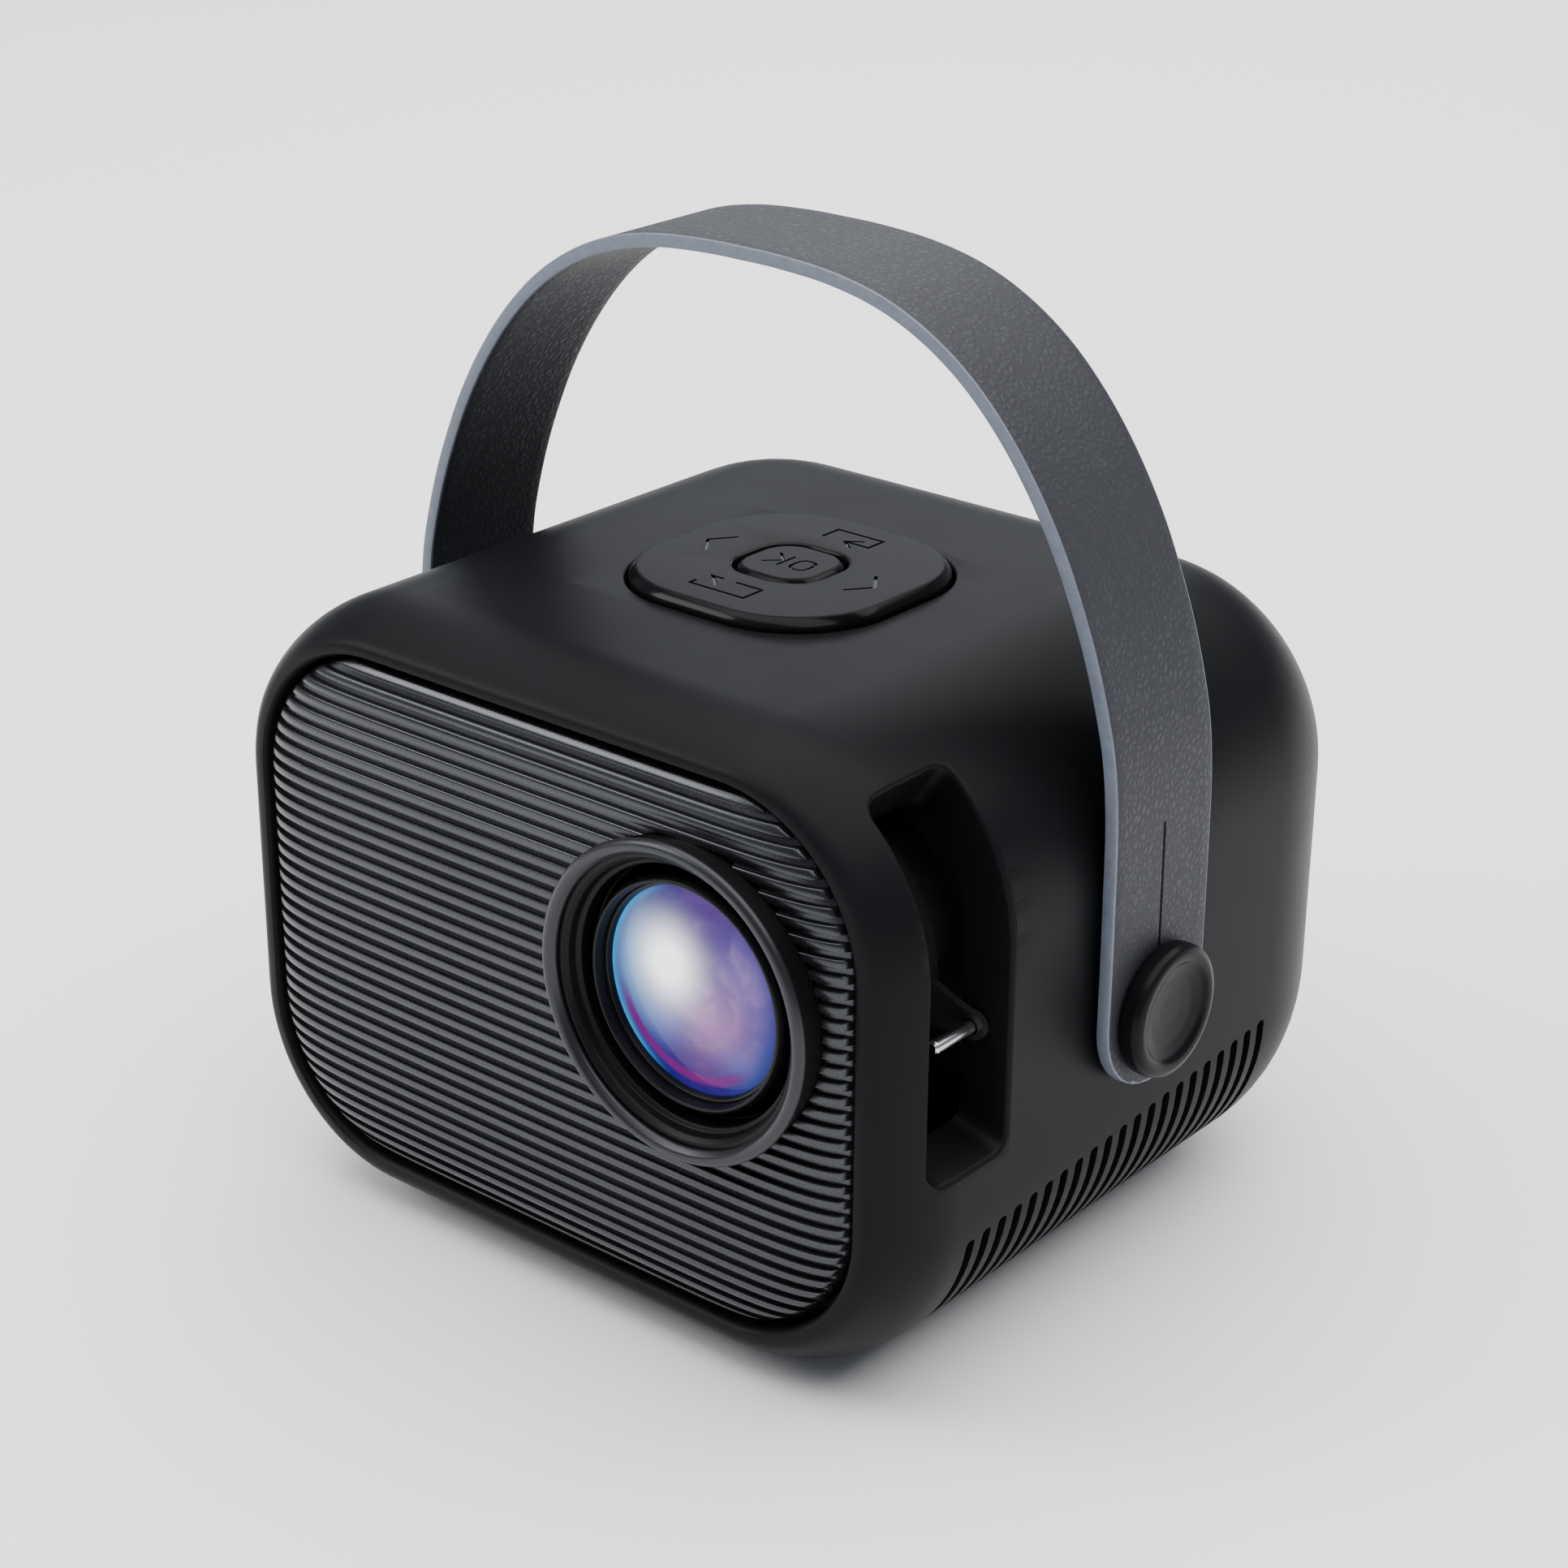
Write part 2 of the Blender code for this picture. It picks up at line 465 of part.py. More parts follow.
socket = part("usb_socket", *loft([at_y(rounded(6.9, 3.3, 0.6, 1), y, *USB) for y in (51.7, 66.4)]),
              (0.62, 0.62, 0.63), 0.3, 1.0)
boolean(socket, cutter("usb_mouth", *box(USB[0] - 6.3, USB[0] + 6.3, 56.0, 70.0,
                                         USB[1] - 2.6, USB[1] + 2.6)))
boolean(socket, cutter("usb_tongue", *box(USB[0] - 5.6, USB[0] + 5.6, 55.0, 65.2,
                                          USB[1] + 0.2, USB[1] + 2.0)), "UNION")
socket = part("av_jack", *loft([at_y(rounded(3.6, 3.6, 0.5, 1), y, *AV) for y in (51.7, 66.4)]),
              (0.02, 0.02, 0.02), 0.4)
boolean(socket, cutter("av_bore", *turned(at_y, [(1.75, 54.0), (1.75, 70.0)], AV, 16)))
socket = part("dc_jack", *loft([at_y(rounded(4.8, 4.8, 0.5, 1), y, *DC) for y in (51.7, 66.4)]),
              (0.02, 0.02, 0.02), 0.4)
boolean(socket, cutter("dc_bore", *turned(at_y, [(2.9, 56.0), (2.9, 70.0)], DC, 20)))
boolean(socket, cutter("dc_pin", *turned(at_y, [(1.0, 55.0), (1.0, 65.2)], DC, 12)), "UNION")
part("power_button", *turned(at_y, [(3.0, 58.0), (3.0, 63.6), (5.2, 63.6), (5.2, 67.6), (4.6, 68.2)],
                             POWER, 20), (0.03, 0.03, 0.032), 0.4, origin=(POWER[0], 66.0, POWER[1]))
part("ir_window", *loft([at_y(rounded(h, v, r, 3), y, *IR) for h, v, r, y in (
    (5.2, 3.6, 3.0, 63.4), (5.2, 3.6, 3.0, 64.3), (4.0, 2.5, 2.1, 64.3), (4.0, 2.5, 2.1, 67.0))]),
    (0.06, 0.01, 0.02), 0.1)
for side, name in ((-1, "rear_screw_left"), (1, "rear_screw_right")):
    part(name, *turned(at_y, [(1.1, 60.4), (1.1, 66.2), (2.0, 66.2), (2.0, 67.4), (1.6, 67.8)],
                       (side * REAR_SCREW_X, REAR_Z), 12), (0.3, 0.3, 0.31), 0.35, 1.0)

# ---- speaker behind the grille ----------------------------------------------------------------------
SPEAKER = (-34.0, 60.0)
speaker = part("speaker_frame", *ring_turned(
    at_y, [(25.5, -62.2), (25.5, -60.4), (22.5, -60.4), (13.5, -50.0), (13.5, -41.0)],
    [(21.5, -62.2), (21.5, -60.4), (20.9, -60.2), (9.0, -50.0), (9.0, -41.0)], SPEAKER, 18),
    (0.05, 0.05, 0.055), 0.5, 0.5)
part("speaker_cone", *turned(at_y, [(4.6, -54.5), (5.6, -54.5), (19.6, -61.6), (20.6, -61.6),
                                    (20.2, -60.9), (8.4, -50.4), (8.4, -42.0)], SPEAKER, 18),
     (0.03, 0.03, 0.03), 0.8)

# ---- base ---------------------------------------------------------------------------------------------
cover = part("bottom_cover", *loft([
    at_z(rounded(39.0, 43.0, 6.0), z, 0, BASE_Y) for z in (Z_BOT, 5.0)]), (0.02, 0.02, 0.02), 0.6)
boolean(cover, cutter("tripod_boss", *turned(at_z, [(8.0, 4.0), (8.0, 12.6)], (0, BASE_Y), 20)), "UNION")
boolean(cover, cutter("tripod_hole", *turned(at_z, [(5.3, 0.0), (5.3, 11.2)], (0, BASE_Y), 20)))
for k in range(5):
    for side in (-1, 1):
        y = BASE_Y - 12 + 6 * k
        boolean(cover, cutter(f"intake_{k}_{side}", *box(
            min(side * 10, side * 22), max(side * 10, side * 22), y - 1.2, y + 1.2, 0.0, 8.0)))
for k, (sx, sy) in enumerate(SCREWS):
    boolean(cover, cutter(f"screw_hole_{k}", *turned(
        at_z, [(2.9, 0.0), (2.9, 3.9), (1.7, 3.9), (1.7, 8.0)], (sx, sy), 10)))
    part(f"case_screw_{k + 1}", *turned(
        at_z, [(2.1, 2.6), (2.6, 2.9), (2.6, 3.6), (1.3, 3.6), (1.3, 8.6)], (sx, sy), 12),
        (0.08, 0.08, 0.085), 0.35, 1.0)
for k, (fx, fy) in enumerate(((-30.0, -38.0), (30.0, -38.0), (-30.0, 14.0), (30.0, 14.0))):
    boolean(cover, cutter(f"foot_seat_{k}", *turned(at_z, [(6.8, 0.0), (6.8, 3.3)], (fx, fy), 14)))
    part(f"rubber_foot_{k + 1}", *turned(
        at_z, [(5.6, 0.0), (6.4, 0.8), (6.5, 3.0)], (fx, fy), 14), (0.02, 0.02, 0.02), 0.9)
part("tripod_insert", *ring_turned(
    at_z, [(4.6, 2.6), (5.0, 3.0), (5.0, 10.6)], [(3.2, 2.6), (2.7, 3.1), (2.7, 10.6)],
    (0, BASE_Y), 20), (0.75, 0.55, 0.25), 0.3, 1.0)

# ---- carrying strap -----------------------------------------------------------------------------------
path = [(STRAP_ARCH[0][0], -STRAP_W / 2 * math.sin(math.radians(a)),
         STRAP_W / 2 * max(math.cos(math.radians(a)), 0.12)) for a in (90, 75, 60, 45, 30, 15)]
path += [(x, z, STRAP_W / 2) for x, z in STRAP_ARCH]
path += [(-x, z, half) for x, z, half in reversed(path[:-1])]
rings = []
for k, (x, z, half) in enumerate(path):
    before, after = path[max(k - 1, 0)], path[min(k + 1, len(path) - 1)]
    tangent = Vector((after[0] - before[0], after[1] - before[1])).normalized()
    inward = Vector((-tangent.y, tangent.x)) * STRAP_T
    rings.append([(x, STRAP_Y - half, STRAP_Z + z), (x, STRAP_Y + half, STRAP_Z + z),
                  (x + inward.x, STRAP_Y + half, STRAP_Z + z + inward.y),
                  (x + inward.x, STRAP_Y - half, STRAP_Z + z + inward.y)])
strap = part("carry_strap", *loft(rings), (0.13, 0.13, 0.15), 0.6, origin=(0, STRAP_Y, STRAP_Z))
boolean(strap, cutter("stud_hole", *turned(at_x, [(4.2, -90.0), (4.2, 90.0)], (STRAP_Y, STRAP_Z), 20)))
boolean(strap, cutter("strap_slit", *box(-90.0, 90.0, STRAP_Y - 0.35, STRAP_Y + 0.35,
                                         STRAP_Z + 3.0, STRAP_Z + 33.0)))
for side, name in ((1, "right"), (-1, "left")):
    part(f"strap_stud_{name}", *turned(
        at_x, [(0.6, side * 81.4), (6.0, side * 81.6), (8.7, side * 82.6), (9.4, side * 83.0),
               (10.8, side * 82.7), (11.6, side * 81.7), (11.6, side * 78.8), (3.8, side * 78.8),
               (3.8, side * 66.0)], (STRAP_Y, STRAP_Z), 20), (0.015, 0.015, 0.016), 0.3)
    part(f"strap_washer_{name}", *ring_turned(
        at_x, [(9.0, side * 74.5), (9.0, side * 75.8)], [(4.2, side * 74.5), (4.2, side * 75.8)],
        (STRAP_Y, STRAP_Z), 20), (0.02, 0.02, 0.02), 0.4)
    part(f"strap_nut_{name}", *ring_turned(
        at_x, [(6.5, side * 66.3), (6.5, side * 69.7)], [(4.0, side * 66.3), (4.0, side * 69.7)],
        (STRAP_Y, STRAP_Z), 12), (0.6, 0.6, 0.6), 0.35, 1.0)

# ---- keypad ---------------------------------------------------------------------------------------------
PAD_AT = (0, PAD_Y, PAD_TILT_Z)
ring = part("keypad_ring", *loft([
    at_z(rounded(h, h, r, 6), z, 0, PAD_Y) for h, r, z in (
        (25.0, 18.6, 110.7), (25.2, 18.8, 114.6), (24.8, 18.5, 115.8), (24.0, 17.8, 116.6))]),
    (0.02, 0.02, 0.021), 0.35, origin=PAD_AT)
boolean(ring, cutter("ok_hole", *loft([at_z(rounded(8.9, 8.9, 6.5, 4), z, 0, PAD_Y)
                                       for z in (105.0, 120.0)])))
part("ok_button", *loft([at_z(rounded(h, h, r, 4), z, 0, PAD_Y) for h, r, z in (
    (2.4, 2.3, 105.9), (2.4, 2.3, 111.4), (8.3, 6.0, 111.4), (8.3, 6.0, 115.9), (7.4, 5.4, 116.7))]),
    (0.02, 0.02, 0.021), 0.35, origin=PAD_AT)
gimbal = part("keypad_gimbal", *box(-8.5, 8.5, PAD_Y - 21, PAD_Y + 21, 106.9, 110.2),
              (0.10, 0.10, 0.10), 0.85, origin=PAD_AT)
boolean(gimbal, cutter("gimbal_hole", *turned(at_z, [(4.6, 100.0), (4.6, 115.0)], (0, PAD_Y), 16)))
board = part("keypad_board", *box(-28.5, 28.5, PAD_Y - 28.5, PAD_Y + 28.5, 101.0, 102.6),
             (0.02, 0.14, 0.07), 0.45)
for k, (px, py, top) in enumerate(((0, 0, 105.0), (-20, 0, 105.0), (20, 0, 105.0),
                                   (0, -16, 105.0), (0, 16, 105.0))):
    boolean(board, cutter(f"key_switch_{k}", *box(
        px - 3, px + 3, PAD_Y + py - 3, PAD_Y + py + 3, 102.0, top)), "UNION")
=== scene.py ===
"""The looks of a small home projector with a leather carrying strap.

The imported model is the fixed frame. Each section below makes one piece, or a group of like pieces,
in the order in which the real object goes together. Sizes are the drawing's millimetres.
"""

import math

import bmesh
import bpy
import numpy as np
from mathutils import Matrix, Vector


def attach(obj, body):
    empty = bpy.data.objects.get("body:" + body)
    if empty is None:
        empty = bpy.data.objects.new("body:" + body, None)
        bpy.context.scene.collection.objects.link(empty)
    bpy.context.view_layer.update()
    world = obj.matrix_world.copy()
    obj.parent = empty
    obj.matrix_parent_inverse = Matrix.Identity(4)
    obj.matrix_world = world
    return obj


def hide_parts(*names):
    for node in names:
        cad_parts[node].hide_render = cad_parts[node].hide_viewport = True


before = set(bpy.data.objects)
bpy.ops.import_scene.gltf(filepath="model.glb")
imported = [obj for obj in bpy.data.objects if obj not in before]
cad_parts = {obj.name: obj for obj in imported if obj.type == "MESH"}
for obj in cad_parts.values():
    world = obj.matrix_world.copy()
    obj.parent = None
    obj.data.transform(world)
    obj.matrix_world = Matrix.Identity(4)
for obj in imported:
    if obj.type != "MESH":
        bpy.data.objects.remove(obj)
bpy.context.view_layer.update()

# ---- housing -----------------------------------------------------------------------------------
# One injection-moulded shell of black ABS with a fine spark-eroded texture. It is open at the front
# for the grille, with a rolled lip round the opening, and carries the vents, the finger slot for the
# focus lever, the keypad opening, the seats for the strap studs and the recess for the rear panel.

MM = 0.001
FRAME_Y = 3.8835                      # from the drawing's y to the frame's y
HALF_W, FLOOR_Z, TOP_Z = 75.0, 2.5, 114.5
FRONT_FLAT, BACK_FLAT = -57.3, 32.5
FRONT_R, BACK_R = 24.0, 42.0
TOP_R, LOW_R = 35.0, 34.0
WALL = 2.5


def linked(name, data):
    """A new object in the scene."""
    made = bpy.data.objects.new(name, data)
    bpy.context.scene.collection.objects.link(made)
    return made


def shaped(name, rings, closed=False):
    """An object through rings of points, given in drawing millimetres. Its ends are capped, or it is
    closed from the last ring to the first."""
    n, count = len(rings[0]), len(rings)
    points = [(x * MM, (y + FRAME_Y) * MM, z * MM) for ring in rings for x, y, z in ring]
    faces = []
    for k in range(count if closed else count - 1):
        a, b = k * n, (k + 1) % count * n
        faces += [(a + i, a + (i + 1) % n, b + (i + 1) % n, b + i) for i in range(n)]
    if not closed:
        faces += [tuple(range(n)), tuple(range((count - 1) * n, count * n))]
    mesh = bpy.data.meshes.new(name)
    mesh.from_pydata(points, [], faces)
    work = bmesh.new()
    work.from_mesh(mesh)
    bmesh.ops.remove_doubles(work, verts=work.verts, dist=2e-7)
    bmesh.ops.recalc_face_normals(work, faces=work.faces)
    work.to_mesh(mesh)
    work.free()
    return linked(name, mesh)


def settled(made):
    """Turns what an object's modifiers make into its plain mesh."""
    seen = bpy.context.evaluated_depsgraph_get()
    mesh = bpy.data.meshes.new_from_object(made.evaluated_get(seen), depsgraph=seen)
    made.modifiers.clear()
    made.data = mesh
    return made


def carved(made, tool, operation="DIFFERENCE"):
    """Cuts a tool solid out of an object, or joins it on, and takes the tool away."""
    step = made.modifiers.new("carve", "BOOLEAN")
    step.operation, step.solver, step.object = operation, "EXACT", tool
    settled(made)
    bpy.data.objects.remove(tool)
    return made


def rounded(half_w, half_h, radius, steps=6, low=None, spread=0):
    """A rounded rectangle as (u, v) points; low is the radius of its two lower corners, and spread
    the number of points on each straight side."""
    low = radius if low is None else low
    corners = ((half_w - radius, half_h - radius, radius, 0), (radius - half_w, half_h - radius, radius,
        90), (low - half_w, low - half_h, low, 180), (half_w - low, low - half_h, low, 270))
    arcs = [[(u + r * math.cos(a), v + r * math.sin(a)) for a in (math.radians(start
        + 90 * k / steps) for k in range(steps + 1))] for u, v, r, start in corners]
    points = []
    for arc, after in zip(arcs, arcs[1:] + arcs[:1]):
        points += arc
        (u0, v0), (u1, v1) = arc[-1], after[0]
        points += [(u0 + (u1 - u0) * t, v0 + (v1 - v0) * t)
                   for t in (0.5 - 0.5 * math.cos(math.pi * (k + 1) / (spread + 1)) for k in range(spread))]
    return points


def stand(points, y, x=0.0, z=0.0):
    """(u, v) points stood up facing the front, at y."""
    return [(x + u, y, z + v) for u, v in points]


def lay(points, z, x=0.0, y=0.0):
    """(u, v) points laid flat at height z."""
    return [(x + u, y + v, z) for u, v in points]


def side_on(points, x, y=0.0, z=0.0):
    """(u, v) points stood up facing the side, at x."""
    return [(x, y + u, z + v) for u, v in points]


def circle(radius, steps=96):
    return [(radius * math.cos(2 * math.pi * k / steps), radius * math.sin(2 * math.pi * k / steps))
            for k in range(steps)]


def hull_ring(y, inset, shrink, top_share=1.0):
    """The housing's cross-section at y, drawn in by inset."""
    top, low = TOP_Z - inset * top_share, FLOOR_Z + inset
    return stand(rounded(HALF_W - inset, (top - low) / 2, TOP_R - shrink * inset, 20,
                         LOW_R - shrink * inset, 3), y, 0, (top + low) / 2)


stations = [(-73.5, 8.2), (-73.42, 7.2), (-73.15, 6.45), (-72.7, 5.8)]
stations += [(FRONT_FLAT - reach, FRONT_R - math.sqrt(FRONT_R ** 2 - reach ** 2))
             for reach in (14.6, 13.6, 12.4, 11.0, 9.4, 7.8, 6.2, 4.6, 3.0, 1.5)]
rings = [hull_ring(y, inset, 0.87, 0.78) for y, inset in stations]
rings += [hull_ring(y, 0.0, 0.87) for y in np.linspace(FRONT_FLAT, BACK_FLAT, 15)]
rings += [hull_ring(BACK_FLAT + BACK_R * math.sin(a), BACK_R * (1 - math.cos(a)), 0.62)
          for a in np.radians(np.linspace(4, 90, 22))]
housing = shaped("housing_shell_moulding", rings)

inside = [hull_ring(y, inset, 0.87, 0.78) for y, inset in (
    (-76.0, 8.5), (-73.55, 8.5), (-73.35, 8.75), (-73.0, 9.05), (-72.4, 9.3), (-66.0, 9.3),
    (-66.0, 12.3), (-63.5, 12.3), (-60.5, 5.6))]
inside.append(hull_ring(-56.0, WALL, 0.87))
inside += [hull_ring(BACK_FLAT + (BACK_R - WALL) * math.sin(a),
                     WALL + (BACK_R - WALL) * (1 - math.cos(a)), 0.62)
           for a in np.radians(np.linspace(0, 90, 8))]
hollow = shaped("hollow", inside)


def flank(s, depth):
    """The point (x, z) on the housing's right flank at a height s measured along its section, at a
    depth under the surface."""
    if s > TOP_Z - TOP_R:
        a, r = (s - TOP_Z + TOP_R) / TOP_R, TOP_R - depth
        return HALF_W - TOP_R + r * math.cos(a), TOP_Z - TOP_R + r * math.sin(a)
    if s < FLOOR_Z + LOW_R:
        a, r = (FLOOR_Z + LOW_R - s) / LOW_R, LOW_R - depth
        return HALF_W - LOW_R + r * math.cos(a), FLOOR_Z + LOW_R - r * math.sin(a)
    return HALF_W - depth, s


def flank_tool(name, s0, s1, y0, y1, corner, edge, deep, floor_slope=0.0):
    """A cutter for an opening in the right flank, with rounded corners and a rolled edge. It starts well
    outside, so that its flat cap stays clear of the curved flank."""
    made, levels = [], [(-14.0, edge), (-0.03, edge)]
    levels += [(edge * t, edge * (1 - math.sqrt(1 - (1 - t) ** 2))) for t in (0.05, 0.15, 0.32, 0.6, 1.0)]
    levels += [(edge + (deep - edge) * t, 0.0) for t in (0.25, 0.5, 0.75, 1.0)]
    for depth, more in levels:
        ring = rounded((s1 - s0) / 2 + more, (y1 - y0) / 2 + more, corner + more, 7, None, 16)
        row = []
        for u, v in ring:
            s = (s0 + s1) / 2 + u
            s += floor_slope * max(depth, 0.0) * min(max(1 - (s - s0) / 12.0, 0.0), 1.0)
            y = (y0 + y1) / 2 + v
            turn = FRONT_R - math.sqrt(FRONT_R ** 2 - max(FRONT_FLAT - y, 0.0) ** 2)
            x, z = flank(s, depth + turn * 0.87)
            row.append((x, y, z))
        made.append(row)
    return shaped(name, made)


SLOT_Y0, SLOT_Y1, SLOT_LOW, SLOT_HIGH = -64.5, -45.3, 45.0, 112.6
STRAP_Y, STRAP_Z = -9.5, 57.7
PAD_Y = -10.0
REAR_Z, REAR_HALF_W, REAR_HALF_H = 58.5, 44.0, 22.0
BASE_Y = -12.0
SCREW_AT = [(-33.0, -50.0), (33.0, -50.0), (-33.0, 26.0), (33.0, 26.0)]
REAR_SCREW_X = 41.2

jacket = [flank(s, 9.5) for s in np.linspace(39.0, 119.0, 26)] + [(50.0, 121.0), (82.0, 121.0),
    (82.0, 39.0)]
carved(hollow, shaped("slot_jacket", [stand(jacket, y) for y in (SLOT_Y0 - 1.45, SLOT_Y1 + 2.4)]))
for side in (-1, 1):
    carved(hollow, shaped("strap_boss", [side_on(circle(8.0, 32), side * x, STRAP_Y, STRAP_Z) for x in (70,
        80)]))
carved(hollow, shaped("rear_frame", [stand(rounded(REAR_HALF_W + 3, REAR_HALF_H + 3, 10), y, 0, REAR_Z)
                                     for y in (60.0, 80.0)]))
carved(hollow, shaped("base_shelf", [lay(rounded(43.5, 47.0, 1.0, 2), z, 0, BASE_Y) for z in (2.0, 7.8)]))
carved(housing, hollow)
carved(housing, flank_tool("finger_slot", SLOT_LOW, SLOT_HIGH, SLOT_Y0, SLOT_Y1, 3.2, 0.9, 14.0, 0.26))
for side in (-1, 1):
    carved(housing, shaped("stud_seat", [side_on(circle(r, 40), side * x, STRAP_Y, STRAP_Z) for r, x in (
        (4.1, 66.0), (4.1, 74.2), (9.4, 74.2), (9.4, 90.0))]))
carved(housing, shaped("pad_opening", [lay(rounded(25.7 + more, 25.7 + more, 19.2 + more, 16), z, 0, PAD_Y)
                                       for z, more in ((98, 0), (113.8, 0), (114.2, 0.12), (114.42, 0.3),
                                                       (114.53, 0.6), (120, 0.6))]))
carved(housing, shaped("rear_recess", [stand(rounded(w, h, r, 10), y, 0, REAR_Z) for w, h, r, y in (
    (39, 19, 6, 59), (39, 19, 6, 64.3), (44, 22, 8, 64.3), (44, 22, 8, 71.6), (44.3, 22.4, 8.3, 72.3),
    (45.2, 23.4, 9.2, 72.9), (46.8, 25.2, 10.8, 73.15), (48.5, 27.0, 12.5, 73.2), (48.5, 27.0, 12.5, 90))]))
carved(housing, shaped("base_seat", [lay(rounded(w, h, r, 6), z, 0, BASE_Y) for w, h, r, z in (
    (39.3, 43.3, 6.3, -5), (39.3, 43.3, 6.3, 5.3), (27, 36, 6, 5.3), (27, 36, 6, 12))]))
for x, y in SCREW_AT:
    carved(housing, shaped("pilot", [lay(circle(1.55, 12), z, x, y) for z in (4.0, 9.5)]))
for side in (-1, 1):
    carved(housing, shaped("rear_pilot", [stand(circle(1.35, 12), y, side * REAR_SCREW_X,
        REAR_Z) for y in (59, 70)]))


class Signal:
    """One output of a node. Plain arithmetic on it adds Math nodes, in a shader or a geometry tree."""

    def __init__(self, works, socket):
        self.works, self.socket = works, socket

    def __add__(self, other): return self.works.maths("ADD", self, other)
    def __radd__(self, other): return self.works.maths("ADD", other, self)
    def __sub__(self, other): return self.works.maths("SUBTRACT", self, other)
    def __rsub__(self, other): return self.works.maths("SUBTRACT", other, self)
    def __mul__(self, other): return self.works.maths("MULTIPLY", self, other)
    def __rmul__(self, other): return self.works.maths("MULTIPLY", other, self)
    def __truediv__(self, other): return self.works.maths("DIVIDE", self, other)
    def __rtruediv__(self, other): return self.works.maths("DIVIDE", other, self)
    def __pow__(self, other): return self.works.maths("POWER", self, other)
    def __abs__(self): return self.works.maths("ABSOLUTE", self)

    def capped(self, low=0.0, high=1.0):
        return self.works.maths("MINIMUM", self.works.maths("MAXIMUM", self, low), high)

    def eased(self, low, high):
        """0 below low, 1 above high, and a soft slope between; low may be the larger."""
        share = ((self - low) / (high - low)).capped()
        return share * share * (3.0 - 2.0 * share)


class Works:
    """A node tree while it is being laid out."""

    def __init__(self, tree):
        self.tree = tree

    def node(self, kind, settings=None, inputs=None):
        """Adds a node, sets it, joins its inputs and returns its outputs by identifier and name."""
        made = self.tree.nodes.new(kind)
        for key, value in (settings or {}).items():
            setattr(made, key, value)
        for key, value in (inputs or {}).items():
            slot = made.inputs[key] if isinstance(key, int) else next(
                s for s in made.inputs if key in (s.identifier, s.name))
            if isinstance(value, Signal):
                self.tree.links.new(value.socket, slot)
            else:
                slot.default_value = value
        return {key: Signal(self, s) for s in reversed(made.outputs) for key in (s.name, s.identifier)}

    def maths(self, operation, *terms):
        return self.node("ShaderNodeMath", {"operation": operation}, dict(enumerate(terms)))["Value"]

    def split(self, vector):
        parts = self.node("ShaderNodeSeparateXYZ", None, {"Vector": vector})
        return parts["X"], parts["Y"], parts["Z"]

    def joined(self, x, y, z):
        return self.node("ShaderNodeCombineXYZ", None, {"X": x, "Y": y, "Z": z})["Vector"]

    def noise(self, at, scale, detail=2.0, rough=0.5):
        return self.node("ShaderNodeTexNoise", None, {"Vector": at, "Scale": scale, "Detail": detail,
                                                      "Roughness": rough})["Fac"]

    def mixed(self, share, first, second):
        """A colour between two, each a triple or another colour signal."""
        colours = [c if isinstance(c, Signal) else (*c, 1.0) for c in (first, second)]
        return self.node("ShaderNodeMix", {"data_type": "RGBA"}, {
            "Factor_Float": share, "A_Color": colours[0], "B_Color": colours[1]})["Result_Color"]

    def bumped(self, height, distance, strength=1.0):
        return self.node("ShaderNodeBump", None, {"Height": height, "Distance": distance,
                                                  "Strength": strength})["Normal"]


def finish(name, paint, **fixed):
    """A material. paint(works, at) gives the sockets that vary over the surface, and fixed the rest."""
    made = bpy.data.materials.new(name)
    made.use_nodes = True
    works = Works(made.node_tree)
    shader = made.node_tree.nodes["Principled BSDF"]
    for key, value in paint(works, works.node("ShaderNodeTexCoord")["Object"]).items():
        made.node_tree.links.new(value.socket, shader.inputs[key])
    for key, value in fixed.items():
        shader.inputs[key.replace("_", " ")].default_value = value
    return made


def moulded(name, colour, rough, grain=0.3, depth=0.012, drift=0.25, **fixed):
    """Moulded plastic: a fine tool texture of the given grain in millimetres, and a slight drift of
    tone and gloss where the melt flowed."""
    def paint(works, at):
        broad = works.noise(at, 45.0, 3.0)
        speck = works.noise(at, 1000.0 / grain, 1.0)
        return {"Base Color": works.mixed(broad, [c * (1 - drift) for c in colour],
            [c * (1 + drift) for c in colour]), "Roughness": rough + 0.10 * (broad - 0.5)
            + 0.08 * (speck - 0.5), "Normal": works.bumped(speck, depth * MM)}
    return finish(name, paint, **fixed)


def placed(made, material, body, slot, *nodes, crease=32.0):
    """Gives a finished mesh its material and shading, and puts it on its CAD body."""
    if material is not None:
        made.data.materials.clear()
        made.data.materials.append(material)
    made.data.shade_smooth()
    made.data.set_sharp_from_angle(angle=math.radians(crease))
    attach(made, body)
    if nodes:
        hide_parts(*nodes)
    return made


class Growth(Works):
    """A geometry tree with a Geometry and a Material input, and further inputs given as
    {name: (socket type, value)}."""

    def __init__(self, name, inputs):
        super().__init__(bpy.data.node_groups.new(name, "GeometryNodeTree"))
        self.values = {}
        sockets = {"Geometry": ("Geometry", None), **inputs, "Material": ("Material", None)}
        for label, (kind, value) in sockets.items():
            socket = self.tree.interface.new_socket(label, in_out="INPUT", socket_type="NodeSocket" + kind)
            if value is not None:
                self.values[socket.identifier] = value
        self.tree.interface.new_socket("Geometry", in_out="OUTPUT", socket_type="NodeSocketGeometry")
        self.given = self.node("NodeGroupInput")

    def geometry(self, kind, settings=None, output="Geometry", **inputs):
        return self.node("GeometryNode" + kind, settings, inputs)[output]

    def run_on(self, made, geometry):
        """Ends the tree at a geometry, and turns an object into what the tree makes of it."""
        solid = self.geometry("RealizeInstances", Geometry=geometry)
        coated = self.geometry("SetMaterial", Geometry=solid, Material=self.given["Material"])
        self.node("NodeGroupOutput", None, {"Geometry": coated})
        step = made.modifiers.new(self.tree.name, "NODES")
        step.node_group = self.tree
        for key, value in self.values.items():
            step[key] = value
        return settled(made)


